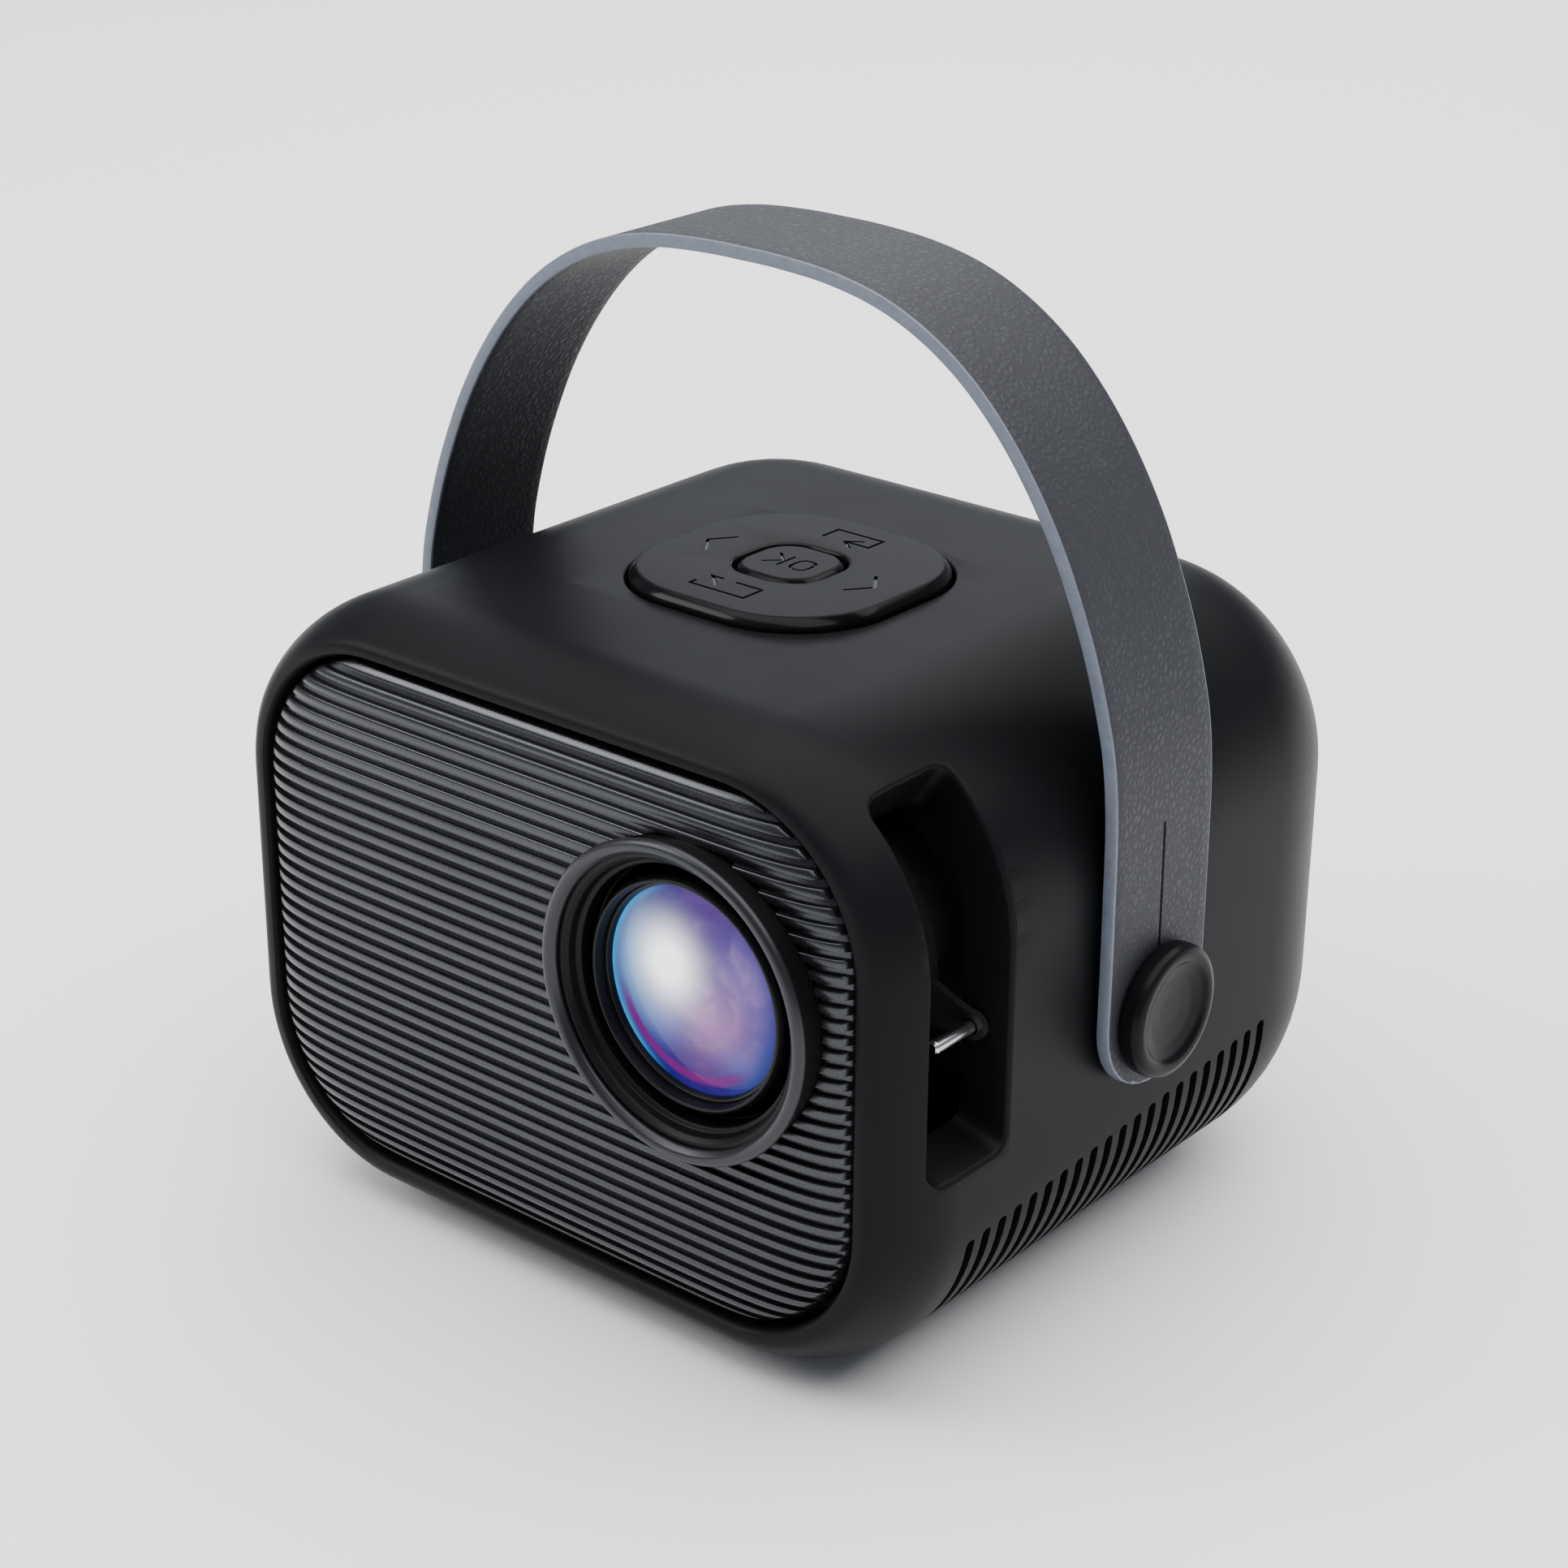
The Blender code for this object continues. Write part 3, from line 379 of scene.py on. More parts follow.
# The vents are a row of upright slots low on each flank. One slot's tool is repeated along the row,
# and the slots' tops rise towards the back.
VENT_COUNT, VENT_PITCH, VENT_W, VENT_Y0 = 21, 4.2, 2.2, -54.6
VENT_HALF_H, VENT_Z, VENT_RISE = 11.75, 19.75, 6.0
vent = shaped("vent_tool", [side_on(rounded(VENT_W / 2, VENT_HALF_H, 0.9, 6), x, VENT_Y0 + VENT_W / 2,
    VENT_Z) for x in (53.0, 90.0)])
growth = Growth("vent_row", {"Count": ("Int", VENT_COUNT), "Pitch": ("Float", VENT_PITCH * MM),
                             "Rise": ("Float", VENT_RISE * MM)})
given = growth.given
line = growth.node("GeometryNodeMeshLine", {"mode": "OFFSET"}, {
    "Count": given["Count"], "Start Location": (0, 0, 0),
    "Offset": growth.joined(0.0, given["Pitch"], 0.0)})["Mesh"]
copies = growth.geometry("InstanceOnPoints", None, "Instances", Points=line, Instance=given["Geometry"])
solid = growth.geometry("RealizeInstances", Geometry=copies)
_, y, z = growth.split(growth.node("GeometryNodeInputPosition")["Position"])
along = (y - (VENT_Y0 + FRAME_Y) * MM) / (given["Pitch"] * (VENT_COUNT - 1))
lift = growth.joined(0.0, 0.0, given["Rise"] * along * z.eased(18.0 * MM, 22.0 * MM))
growth.run_on(vent, growth.geometry("SetPosition", Geometry=solid, Offset=lift))
for side in (1, -1):
    tool = linked("vent_tools", vent.data.copy())
    if side < 0:
        for point in tool.data.vertices:
            point.co.x = -point.co.x
        tool.data.flip_normals()
    carved(housing, tool)
bpy.data.objects.remove(vent)

black_abs = moulded("black_textured_abs", (0.0050, 0.0053, 0.0062), 0.42, grain=0.22, depth=0.010,
                    IOR=1.16)
placed(housing, black_abs, "chassis", "housing_plastic", "housing_shell", crease=38)

# ---- grille ------------------------------------------------------------------------------------
# One moulding with a domed face of level ribs, sprayed in a satin gunmetal. The dome rolls back hard
# at its edges, and the ribs run up to the lens opening.

GRILLE_HALF_W, GRILLE_HALF_H, GRILLE_Z, GRILLE_R = 65.1, 47.0, 59.7, 26.4
GRILLE_BACK = -66.3
RIB_COUNT, RIB_SHARE, RIB_DEPTH = 36, 0.56, 0.95
LENS_X, LENS_Z, COLLAR_R = 34.4, 70.7, 26.5
rib_pitch = 2 * GRILLE_HALF_H / RIB_COUNT
half_rib = rib_pitch * RIB_SHARE / 2
PROFILE = [(-half_rib - 0.03, 0.0), (-half_rib, 0.70), (-half_rib + 0.07, 0.92), (-half_rib + 0.2, 1.0),
    (0.0, 1.0), (half_rib - 0.2, 1.0), (half_rib - 0.07, 0.92), (half_rib, 0.70), (half_rib + 0.03, 0.0)]


def half_width(v):
    """Half the grille's width at a height v above its centre."""
    over = max(abs(v) - (GRILLE_HALF_H - GRILLE_R), 0.0)
    return GRILLE_HALF_W - GRILLE_R + math.sqrt(max(GRILLE_R ** 2 - over ** 2, 0.0))


LEFT_STEPS, RIGHT_STEPS = 64, 40
levels = [(-GRILLE_HALF_H, 0.0)]
for k in range(RIB_COUNT):
    middle = -GRILLE_HALF_H + rib_pitch * (k + 0.5)
    levels += [(middle + offset, height) for offset, height in PROFILE]
    levels.append((middle + rib_pitch / 2, 0.0))
points, ribs, across = [], [], []
for v, height in levels:
    half = half_width(v)
    gap = math.sqrt(max(COLLAR_R ** 2 - (GRILLE_Z + v - LENS_Z) ** 2, 0.0))
    for steps, start, end in ((LEFT_STEPS, -half, LENS_X - gap), (RIGHT_STEPS, LENS_X + gap, half)):
        start, end = min(start, end), max(start, end)
        for k in range(steps + 1):
            t = 0.5 - 0.5 * math.cos(math.pi * k / steps)
            x = start + (end - start) * (0.7 * t + 0.3 * k / steps)
            points.append((x * MM, FRAME_Y * MM, (GRILLE_Z + v) * MM))
            across.append(x / max(half, 1.0))
            reach = half - abs(x)
            ribs.append(height * min(max((reach - 0.5) / 0.9, 0.0), 1.0) ** 0.5)
wide = LEFT_STEPS + RIGHT_STEPS + 2
faces = [(r * wide + c, r * wide + c + 1, (r + 1) * wide + c + 1, (r + 1) * wide + c)
         for r in range(len(levels) - 1) for c in range(wide - 1)
         if c != LEFT_STEPS or abs(GRILLE_Z + (levels[r][0] + levels[r + 1][0]) / 2 - LENS_Z) > COLLAR_R]
mesh = bpy.data.meshes.new("front_grille_face")
mesh.from_pydata(points, [], faces)
for name, values in (("rib", ribs), ("across", across)):
    mesh.attributes.new(name, "FLOAT", "POINT").data.foreach_set("value", values)
grille = linked("front_grille_face", mesh)

growth = Growth("grille_relief", {"Dome height": ("Float", 5.3 * MM), "Edge depth": ("Float", 70.6 * MM),
    "Rib depth": ("Float", RIB_DEPTH * MM)})
given = growth.given
_, _, z = growth.split(growth.node("GeometryNodeInputPosition")["Position"])
across, rib = (growth.node("GeometryNodeInputNamedAttribute", {"data_type": "FLOAT"},
    {"Name": name})["Attribute"] for name in ("across", "rib"))
u = abs(across).capped()
v = (abs(z - GRILLE_Z * MM) / (GRILLE_HALF_H * MM)).capped()
rolled = growth.maths("SQRT", (1.0 - u ** 9.0).capped()) * growth.maths("SQRT", (1.0 - v ** 6.0).capped())
dome = given["Dome height"] * (0.86 * rolled + 0.14 * (1.0 - u * u) * (1.0 - v * v)) + given["Edge depth"]
lift = growth.joined(0.0, -1.0 * (dome + given["Rib depth"] * rib), 0.0)
growth.run_on(grille, growth.geometry("SetPosition", Geometry=given["Geometry"], Offset=lift))

work = bmesh.new()
work.from_mesh(grille.data)
bmesh.ops.remove_doubles(work, verts=work.verts, dist=1e-6)
rim = [e for e in work.edges if e.is_boundary]
skirt = bmesh.ops.extrude_edge_only(work, edges=rim)["geom"]
for point in skirt:
    if isinstance(point, bmesh.types.BMVert):
        point.co.y = (GRILLE_BACK + FRAME_Y) * MM
back = [e for e in work.edges if e.is_boundary]
bmesh.ops.bridge_loops(work, edges=back)
bmesh.ops.recalc_face_normals(work, faces=work.faces)
work.to_mesh(grille.data)
work.free()


def gunmetal(works, at):
    """Sprayed satin metallic paint with a fine flake and a broad drift of tone."""
    broad = works.noise(at, 30.0, 2.0)
    flake = works.noise(at, 5200.0, 1.0)
    return {"Base Color": works.mixed(0.5 * broad + 0.5 * flake.eased(0.35, 0.7), (0.030, 0.031, 0.034),
        (0.062, 0.064, 0.069)), "Roughness": 0.27 + 0.10 * (flake - 0.5) + 0.08 * (broad - 0.5),
        "Normal": works.bumped(flake, 0.004 * MM, 0.6)}


grille_paint = finish("satin_gunmetal_paint", gunmetal, Metallic=0.85, Specular_IOR_Level=0.5)
placed(grille, grille_paint, "chassis", "grille_paint", "front_grille", crease=40)

# ---- lens ring, shroud, barrel and glass -------------------------------------------------------
# A turned trim ring with rounded shoulders stands in the grille's lens opening. Behind it is the matt
# black stepped shroud, whose skirt fills the opening and in which the lens barrel slides. The barrel
# holds the front glass under a thin retaining ring.


def eased_corners(profile, radius):
    """A closed outline with each corner rounded by about the radius, or less on short edges."""
    made = []
    for k, here in enumerate(profile):
        here, before, after = Vector(here), Vector(profile[k - 1]), Vector(profile[(k + 1) % len(profile)])
        if here.x == 0.0:
            made.append(tuple(here))
            continue
        reach = min(radius, (before - here).length * 0.45, (after - here).length * 0.45)
        a, b = here + (before - here).normalized() * reach, here + (after - here).normalized() * reach
        made += [tuple(a * (1 - t) ** 2 + here * 2 * t * (1 - t) + b * t * t) for t in (0.0, 0.2, 0.5, 0.8,
            1.0)]
    return made


def lathed(name, stance, profile, centre, radius=0.15, steps=96):
    """A turned piece from a closed outline of (radius, position) pairs about an axis."""
    outline = eased_corners(profile, radius)
    return shaped(name, [stance(circle(max(r, 1e-5), steps), p, *centre) for r, p in outline], closed=True)


def satin_alloy(works, at):
    broad = works.noise(at, 40.0, 2.0)
    fine = works.noise(at, 4200.0, 1.0)
    return {"Base Color": works.mixed(broad, (0.020, 0.021, 0.023), (0.034, 0.035, 0.038)),
            "Roughness": 0.34 + 0.10 * (fine - 0.5), "Normal": works.bumped(fine, 0.003 * MM)}


LENS, GLASS_R = (LENS_X, LENS_Z), 18.3
ring = lathed("lens_trim_ring", stand, [(26.0, -79.3), (27.3, -79.4), (27.3, -80.3), (26.5, -81.0),
    (25.5, -80.9), (24.6, -79.9), (24.6, -79.3)], LENS, 0.5, 144)
placed(ring, finish("ring_metal_satin", satin_alloy, Metallic=0.7), "chassis", "ring_metal", "lens_ring")

shroud = lathed("lens_shroud_turned", stand, [(26.3, -79.2), (26.3, -66.4), (24.5, -66.2), (24.5, -65.9),
    (27.6, -65.9), (27.6, -64.4), (21.0, -64.4), (21.6, -73.2), (22.0, -73.4), (22.1, -76.6), (22.9, -77.0),
    (23.2, -78.4), (24.0, -79.2)], LENS, 0.2, 120)
matt_black = moulded("matt_black_bore", (0.0035, 0.0035, 0.004), 0.42, grain=0.18, depth=0.006,
    Specular_IOR_Level=0.12)
placed(shroud, matt_black, "chassis", "black_plastic", "lens_shroud")

barrel = lathed("lens_barrel_turned", stand, [(19.4, -76.9), (20.1, -76.0), (20.1, -40.0), (14.4, -40.0),
    (14.4, -48.3), (17.5, -58.0), (18.35, -71.0), (18.6, -75.6), (18.9, -76.9)], LENS, 0.25, 120)
placed(barrel, moulded("barrel_black", (0.004, 0.004, 0.0045), 0.36, grain=0.2, depth=0.005,
                       Specular_IOR_Level=0.16), "barrel", "black_plastic", "lens_barrel")
retainer = lathed("lens_retaining_ring", stand, [(18.5, -75.0), (18.5, -73.9), (17.7, -73.9),
    (18.0, -75.0)], LENS, 0.12, 120)
placed(retainer, moulded("retainer_black", (0.005, 0.005, 0.006), 0.3, grain=0.2, depth=0.004,
                         Specular_IOR_Level=0.2), "barrel", "black_plastic", "lens_retainer")


def painted_glow_coating(works, at):
    """Multi-coated glass with a painted glow: its emission paints a white core highlight, a cool side, a
    warm side, a violet rim with a magenta arc, and faint rings of painted reflection from the inner
    surfaces."""
    x, _, z = works.split(at)
    x, z = (x - LENS_X * MM) / (GLASS_R * MM), (z - LENS_Z * MM) / (GLASS_R * MM)
    reach = works.maths("SQRT", x * x + z * z)

    def spot(cx, cz, size, stretch=1.0):
        across, up = (x - cx) / size, (z - cz) / (size * stretch)
        return works.maths("EXPONENT", -1.0 * (across * across + up * up))

    swirl = works.node("ShaderNodeTexNoise", None, {
        "Vector": works.joined(x * 1.4 + z * 0.6, 0.0, z * 1.7 - x * 0.5), "Scale": 1.6, "Detail": 2.0,
        "Distortion": 1.6})["Fac"]
    halo = works.maths("SQRT", (x - 0.08) * (x - 0.08) + (z + 0.02) * (z + 0.02))
    rings = 0.5 + 0.5 * works.maths("SINE", halo * 26.0 + swirl * 5.0)
    body = works.mixed(z.eased(-0.6, 0.6), (0.012, 0.006, 0.20), (0.020, 0.008, 0.22))
    for share, colour in (
            (spot(0.88, -0.35, 0.48), (0.003, 0.045, 0.30)),
            (spot(0.15, 0.82, 0.36) * 0.9, (0.080, 0.014, 0.22)),
            (spot(0.10, -0.66, 0.30, 0.7) * 0.9, (0.080, 0.010, 0.20)),
            (spot(0.55, -0.52, 0.22) * 0.9, (0.070, 0.11, 0.46)),
            (spot(0.55, 0.25, 0.34, 1.3) * (0.55 + 0.6 * swirl), (0.26, 0.17, 0.52)),
            (spot(0.24, -0.20, 0.36, 0.9), (0.52, 0.24, 0.54)),
            (spot(-0.34, -0.25, 0.28), (0.20, 0.25, 0.70)),
            (spot(-0.62, 0.10, 0.28, 1.6) * 0.95, (0.22, 0.55, 1.0)),
            (rings * swirl.eased(0.35, 0.65) * spot(0.1, 0.1, 0.6) * 0.40, (0.60, 0.40, 0.72)),
            (reach.eased(0.76, 0.80) * reach.eased(0.90, 0.86) * (-0.3 * x - z).eased(0.3, 0.7),
             (0.20, 0.010, 0.22)),
            (reach.eased(0.88, 0.96) * (0.0 - x).eased(0.25, 0.8), (0.03, 0.34, 0.80)),
            (reach.eased(0.80, 1.0) * x.eased(0.2, 0.8) * 0.8, (0.004, 0.02, 0.20)),
            # Painted highlight: the bright white core spot.
            ((spot(-0.24, 0.22, 0.30) * 1.25).capped(), (2.6, 2.6, 2.7))):
        body = works.mixed(share, body, colour)
    return {"Emission Color": works.mixed(reach.eased(0.97, 1.0), body, (0.02, 0.02, 0.10)),
            "Base Color": works.mixed(reach, (0.010, 0.009, 0.030), (0.002, 0.002, 0.012)),
            "Roughness": 0.05 + 0.03 * swirl}


front_glass = lathed("front_glass", stand, [(0.0, -75.9), (4.0, -75.78), (8.0, -75.42), (12.0, -74.85),
    (15.0, -74.3), (GLASS_R, -73.75), (GLASS_R, -71.4), (11.0, -70.2), (0.0, -69.8)], LENS, 0.0, 120)
# Painted glow: the front glass emits the colours of its reflections and a white highlight.
coated = finish("coated_glass_painted_glow", painted_glow_coating, Emission_Strength=1.0, IOR=1.2)
placed(front_glass, coated, "barrel", "coated_glass", "front_lens_element", crease=50)

# ---- focus ring and lever ----------------------------------------------------------------------
# A plastic ring turns on the lens mount. A flat arm on it reaches out to the finger slot and carries a
# short steel pin with a chamfered end, pressed into a hole in the arm.

FOCUS_Y0, FOCUS_Y1 = -56.0, -44.6
LEVER_R, LEVER_TURN = 34.4, math.radians(-9.0)
focus = shaped("focus_ring_body", [stand(circle(r, 144), y, *LENS) for r,
    y in eased_corners([(25.4, FOCUS_Y0), (26.0, -55.4), (26.0, -45.2), (25.4, FOCUS_Y1), (22.8, FOCUS_Y1),
    (22.8, FOCUS_Y0)], 0.2)], closed=True)
along = Vector((math.cos(LEVER_TURN), math.sin(LEVER_TURN)))
flare = [(24.4, 4.2), (31.5, 2.6), (33.6, 2.35)]
outline = [(reach, -half) for reach, half in flare]
outline += [(LEVER_R + 2.6 * math.sin(t), -2.4 * math.cos(t)) for t in np.linspace(0.1, math.pi - 0.1, 15)]
outline += flare[::-1]
arm = [tuple(along * a + along.orthogonal() * b) for a, b in outline]
grip_at = (LENS_X + along.x * LEVER_R, LENS_Z + along.y * LEVER_R)
arm_solid = shaped("focus_arm", [stand(arm, y, *LENS) for y in (-47.1, -45.7)])
carved(arm_solid, shaped("grip_hole", [stand(circle(1.4, 32), y, *grip_at) for y in (-49, -44)]))
carved(focus, arm_solid, "UNION")
placed(focus, moulded("focus_black", (0.011, 0.011, 0.012), 0.40, grain=0.25, depth=0.008), "focus",
       "black_plastic", "focus_ring")


def drawn_steel(works, at):
    x, y, z = works.split(at)
    lines = works.noise(works.joined(x * 3.0, y * 0.02, z * 3.0), 1800.0, 2.0)
    return {"Base Color": works.mixed(lines, (0.42, 0.42, 0.43), (0.62, 0.62, 0.64)),
            "Roughness": 0.16 + 0.14 * lines, "Normal": works.bumped(lines, 0.002 * MM)}


grip = lathed("focus_pin", stand, [(0.0, -57.0), (0.72, -57.0), (1.15, -56.45), (1.15, -45.6),
    (0.0, -45.6)], grip_at, 0.08, 48)
placed(grip, finish("drawn_steel", drawn_steel, Metallic=1.0), "focus", "steel", "focus_grip")

# ---- carrying strap ----------------------------------------------------------------------------
# One band of grained slate-grey leather, die-cut with round ends, its cut edges sealed with paler paint.
# A slit above each punched hole lets the end button over its stud. It stands up by its own stiffness.

STRAP_W, STRAP_T, STRAP_STEPS, EDGE = 27.5, 2.4, 5, 0.42
ARCH = [(78.5, 0.0), (78.5, 12.0), (78.4, 24.0), (78.2, 36.0), (77.3, 46.0), (75.6, 54.0), (72.9, 63.0),
        (69.8, 71.0), (65.8, 79.6), (60.4, 88.6), (53.9, 97.0), (46.4, 104.2), (37.8, 109.8), (28.6, 113.6),
        (18.5, 115.7), (8.0, 116.5), (0.0, 116.6)]


def flowing(points, steps):
    """A smooth line through points."""
    p = np.array([2 * np.array(points[0]) - np.array(points[1])] + list(points) +
                 [2 * np.array(points[-1]) - np.array(points[-2])], float)
    made = []
    for k in range(1, len(p) - 2):
        for t in np.arange(steps) / steps:
            made.append(0.5 * (2 * p[k] + (p[k + 1] - p[k - 1]) * t + (2 * p[k - 1] - 5 * p[k]
                + 4 * p[k + 1] - p[k + 2]) * t ** 2 + (3 * p[k] - p[k - 1] - 3 * p[k + 1]
                + p[k + 2]) * t ** 3))
    return made + [p[-2]]


# Two points past the crown keep the line level there, and are then cut off.
half_arch = flowing(ARCH + [(-x, z) for x, z in ARCH[-2:-4:-1]], STRAP_STEPS)[:-2 * STRAP_STEPS]
ends = [(78.5, -STRAP_W / 2 * math.cos(a), STRAP_W / 2 * math.sin(a)) for a in np.radians(np.linspace(3, 84,
    22))]
route = ends + [(x, z, STRAP_W / 2) for x, z in half_arch]
route += [(-x, z, half) for x, z, half in reversed(route[:-1])]
rings = []
for k, (x, z, half) in enumerate(route):
    x0, z0, _ = route[max(k - 1, 0)]
    x1, z1, _ = route[min(k + 1, len(route) - 1)]
    along = Vector((x1 - x0, z1 - z0)).normalized()
    inward = Vector((-along.y, along.x))
    inner = [half - t * 2 * half for t in (0.1, 0.25, 0.5, 0.75, 0.9)]
    round_end = [(half - 0.45, 0.0), (half - 0.12, 0.14), (half, 0.5)]
    round_end += [(w, STRAP_T - t) for w, t in round_end[::-1]]
    section = [(-w, 0.0) for w in inner] + round_end + [(w, STRAP_T) for w in inner]
    section += [(-w, t) for w, t in round_end[::-1]]
    rings.append([(x + inward.x * t, STRAP_Y + w, STRAP_Z + z + inward.y * t) for w, t in section])
strap = shaped("leather_strap", rings)
for side in (-1, 1):
    carved(strap, shaped("stud_hole", [side_on(circle(4.2, 40), side * x, STRAP_Y, STRAP_Z) for x in (70,
        85)]))
    carved(strap, shaped("strap_slit", [side_on(rounded(0.33, 15.2, 0.32, 4), side * x, STRAP_Y,
        STRAP_Z + 18.0) for x in (70, 85)]))


def grained_leather(works, at):
    """Corrected-grain leather: pebbles about a millimetre across with fine creases between, slate grey with
    a bloom of violet, drifting a little in tone along the band. The colour darkens in the creases between
    the pebbles as painted shade, and pales on the crests of the folds as a painted highlight."""
    warped = works.node("ShaderNodeVectorMath", {"operation": "MULTIPLY_ADD"}, {
        0: works.node("ShaderNodeTexNoise", None, {"Vector": at, "Scale": 500.0, "Detail": 1.0})["Color"],
        1: (0.0011, 0.0011, 0.0011), 2: at})["Vector"]
    cells = works.node("ShaderNodeTexVoronoi", {"feature": "DISTANCE_TO_EDGE"},
        {"Vector": warped, "Scale": 720.0})["Distance"]
    pebble = cells.eased(0.0, 0.42)
    fold = works.noise(at, 260.0, 4.0, 0.6)
    fine = works.noise(at, 2600.0, 2.0)
    broad = works.noise(at, 22.0, 3.0)
    tone = works.mixed(broad, (0.024, 0.025, 0.030), (0.034, 0.035, 0.042))
    # Painted shade: darker in the creases between the pebbles.
    tone = works.mixed((1.0 - pebble) * 0.30, tone, (0.013, 0.014, 0.018))
    # Painted highlight: paler on the crests of the folds.
    return {"Base Color": works.mixed(fold.eased(0.55, 0.8) * 0.25, tone, (0.055, 0.056, 0.066)),
            "Roughness": 0.60 - 0.12 * pebble + 0.08 * (fine - 0.5),
            "Normal": works.bumped(pebble * 0.55 + fold * 0.75 + fine * 0.10, 0.16 * MM, 0.75)}


def sealed_edge(works, at):
    """Edge paint, brushed on in two coats: paler, smoother, and a little lumpy where the fibres lift."""
    lumps = works.noise(at, 650.0, 3.0, 0.6)
    return {"Base Color": works.mixed(lumps, (0.085, 0.098, 0.128), (0.150, 0.170, 0.215)),
            "Roughness": 0.50 + 0.16 * (lumps - 0.5), "Normal": works.bumped(lumps, 0.12 * MM, 0.6)}


leather = finish("slate_leather", grained_leather, Specular_IOR_Level=0.25)
edge_paint = finish("strap_edge_paint", sealed_edge, Specular_IOR_Level=0.45)
placed(strap, leather, "strap", "strap_leather", "carry_strap", crease=45)
strap.data.materials.append(edge_paint)
for face in strap.data.polygons:
    middle, normal = face.center / MM, face.normal
    side = abs(middle.y - FRAME_Y - STRAP_Y)
    tip = middle.z < STRAP_Z and math.hypot(middle.y - FRAME_Y - STRAP_Y,
        middle.z - STRAP_Z) > STRAP_W / 2 - EDGE
    if side > STRAP_W / 2 - EDGE or tip or (middle.z < STRAP_Z and abs(normal.x) < 0.5):
        face.material_index = 1

# ---- strap studs -------------------------------------------------------------------------------
# A satin black nylon stud on each flank, with a thick dished head. The shank passes through the strap,
# a nylon washer and the housing into a nut inside.

stud_black = moulded("stud_nylon", (0.0045, 0.0045, 0.0055), 0.32, grain=0.35, depth=0.004, IOR=1.18)
for side, label in ((1, "right"), (-1, "left")):
    stud = lathed(f"strap_stud_{label}_turned", side_on, [(0.0, side * 81.3), (3.0, side * 81.36),
        (6.0, side * 81.6), (8.2, side * 82.2), (9.1, side * 82.9), (10.2, side * 83.0),
        (11.2, side * 82.6), (11.6, side * 81.6), (11.6, side * 79.6), (11.2, side * 78.8),
        (3.8, side * 78.8), (3.8, side * 66.0), (0.0, side * 66.0)], (STRAP_Y, STRAP_Z), 0.35, 96)
    placed(stud, stud_black, "chassis", "stud_plastic", f"strap_stud_{label}", crease=50)

# ---- keypad ------------------------------------------------------------------------------------
# One glossy-edged rocking ring with four sunk key symbols round a separate centre key. Both are moulded in
# black and textured on top, with a polished chamfer round the edge.

pad = shaped("keypad_ring_moulding", [lay(rounded(h, h, r, 20), z, 0, PAD_Y) for h, r,
    z in ((25.0, 18.6, 110.7), (25.2, 18.8, 114.5), (25.2, 18.8, 114.9), (25.05, 18.7, 115.3),
    (24.1, 17.9, 116.45), (23.8, 17.7, 116.58), (23.4, 17.4, 116.6))])
carved(pad, shaped("key_well", [lay(rounded(h, h, h - 2.4, 16), z, 0, PAD_Y) for h, z in (
    (8.9, 105.0), (8.9, 115.9), (9.15, 116.35), (9.6, 116.58), (9.75, 116.62), (9.75, 120.0))]))
key = shaped("ok_key_moulding", [lay(rounded(h, h, r, 16), z, 0, PAD_Y) for h, r,
    z in ((2.4, 2.3, 105.9), (2.4, 2.3, 111.4), (8.3, 6.0, 111.4), (8.3, 6.0, 115.6), (8.2, 5.9, 115.95),
    (7.5, 5.4, 116.62), (7.25, 5.2, 116.69), (6.9, 4.9, 116.7))])


def stroke(line, width, closed=False):
    """A flat outline of a pen stroke of the given width along a line of points."""
    n, left, right = len(line), [], []
    for k, here in enumerate(line):
        before = Vector(line[k - 1]) if (k or closed) else None
        after = Vector(line[(k + 1) % n]) if (k < n - 1 or closed) else None
        here = Vector(here)
        a = (here - before).normalized() if before else (after - here).normalized()
        b = (after - here).normalized() if after else a
        mid = (a + b).normalized()
        out = Vector((-mid.y, mid.x)) * width / 2 / max(mid.dot(a), 0.35)
        left.append(here + out)
        right.append(here - out)
    return left, right


def sunk(made, line, width, top, deep=0.32, closed=False):
    """Sinks a stroke, drawn about the keypad's centre, into the top of a key."""
    left, right = stroke([(x, PAD_Y + y) for x, y in line], width, closed)
    if closed:
        tool = shaped("symbol", [[(p.x, p.y, z) for p in loop] for loop, z in (
            (left, top - deep), (left, top + 1), (right, top + 1), (right, top - deep))], closed=True)
    else:
        tool = shaped("symbol", [[(p.x, p.y, z) for p in left + right[::-1]] for z in (top - deep,
            top + 1)])
    carved(made, tool)


RING_TOP, KEY_TOP, RING_PEN, KEY_PEN = 116.6, 116.7, 0.62, 0.55
for line in (
        [(-15.4, 4.2), (-18.6, -0.2), (-15.4, -4.6)], [(15.4, 4.2), (18.6, -0.2), (15.4, -4.6)],
        [(-4.6, 14.2), (-4.6, 18.8), (5.4, 18.8), (5.4, 14.6), (0.2, 14.6)],
        [(3.0, 12.4), (0.2, 14.6), (3.0, 16.6)],
        [(5.2, -13.6), (5.2, -18.6), (-6.6, -18.6), (-6.6, -16.9)], [(5.2, -13.6), (-0.6, -13.6)],
        [(-2.2, -16.9), (-5.8, -13.6), (-3.3, -13.6)]):
    sunk(pad, line, RING_PEN, RING_TOP)
oval = [[math.copysign(abs(c) ** 0.7, c) for c in (math.cos(t), math.sin(t))]
        for t in np.linspace(0, 2 * math.pi, 20, endpoint=False)]
sunk(key, [(2.75 + 1.75 * u, 2.35 * v) for u, v in oval], KEY_PEN, KEY_TOP, closed=True)
for line in ([(-1.0, 2.6), (-1.0, -2.6)], [(-4.3, 2.6), (-1.55, 0.0), (-4.3, -2.6)]):
    sunk(key, line, KEY_PEN, KEY_TOP)


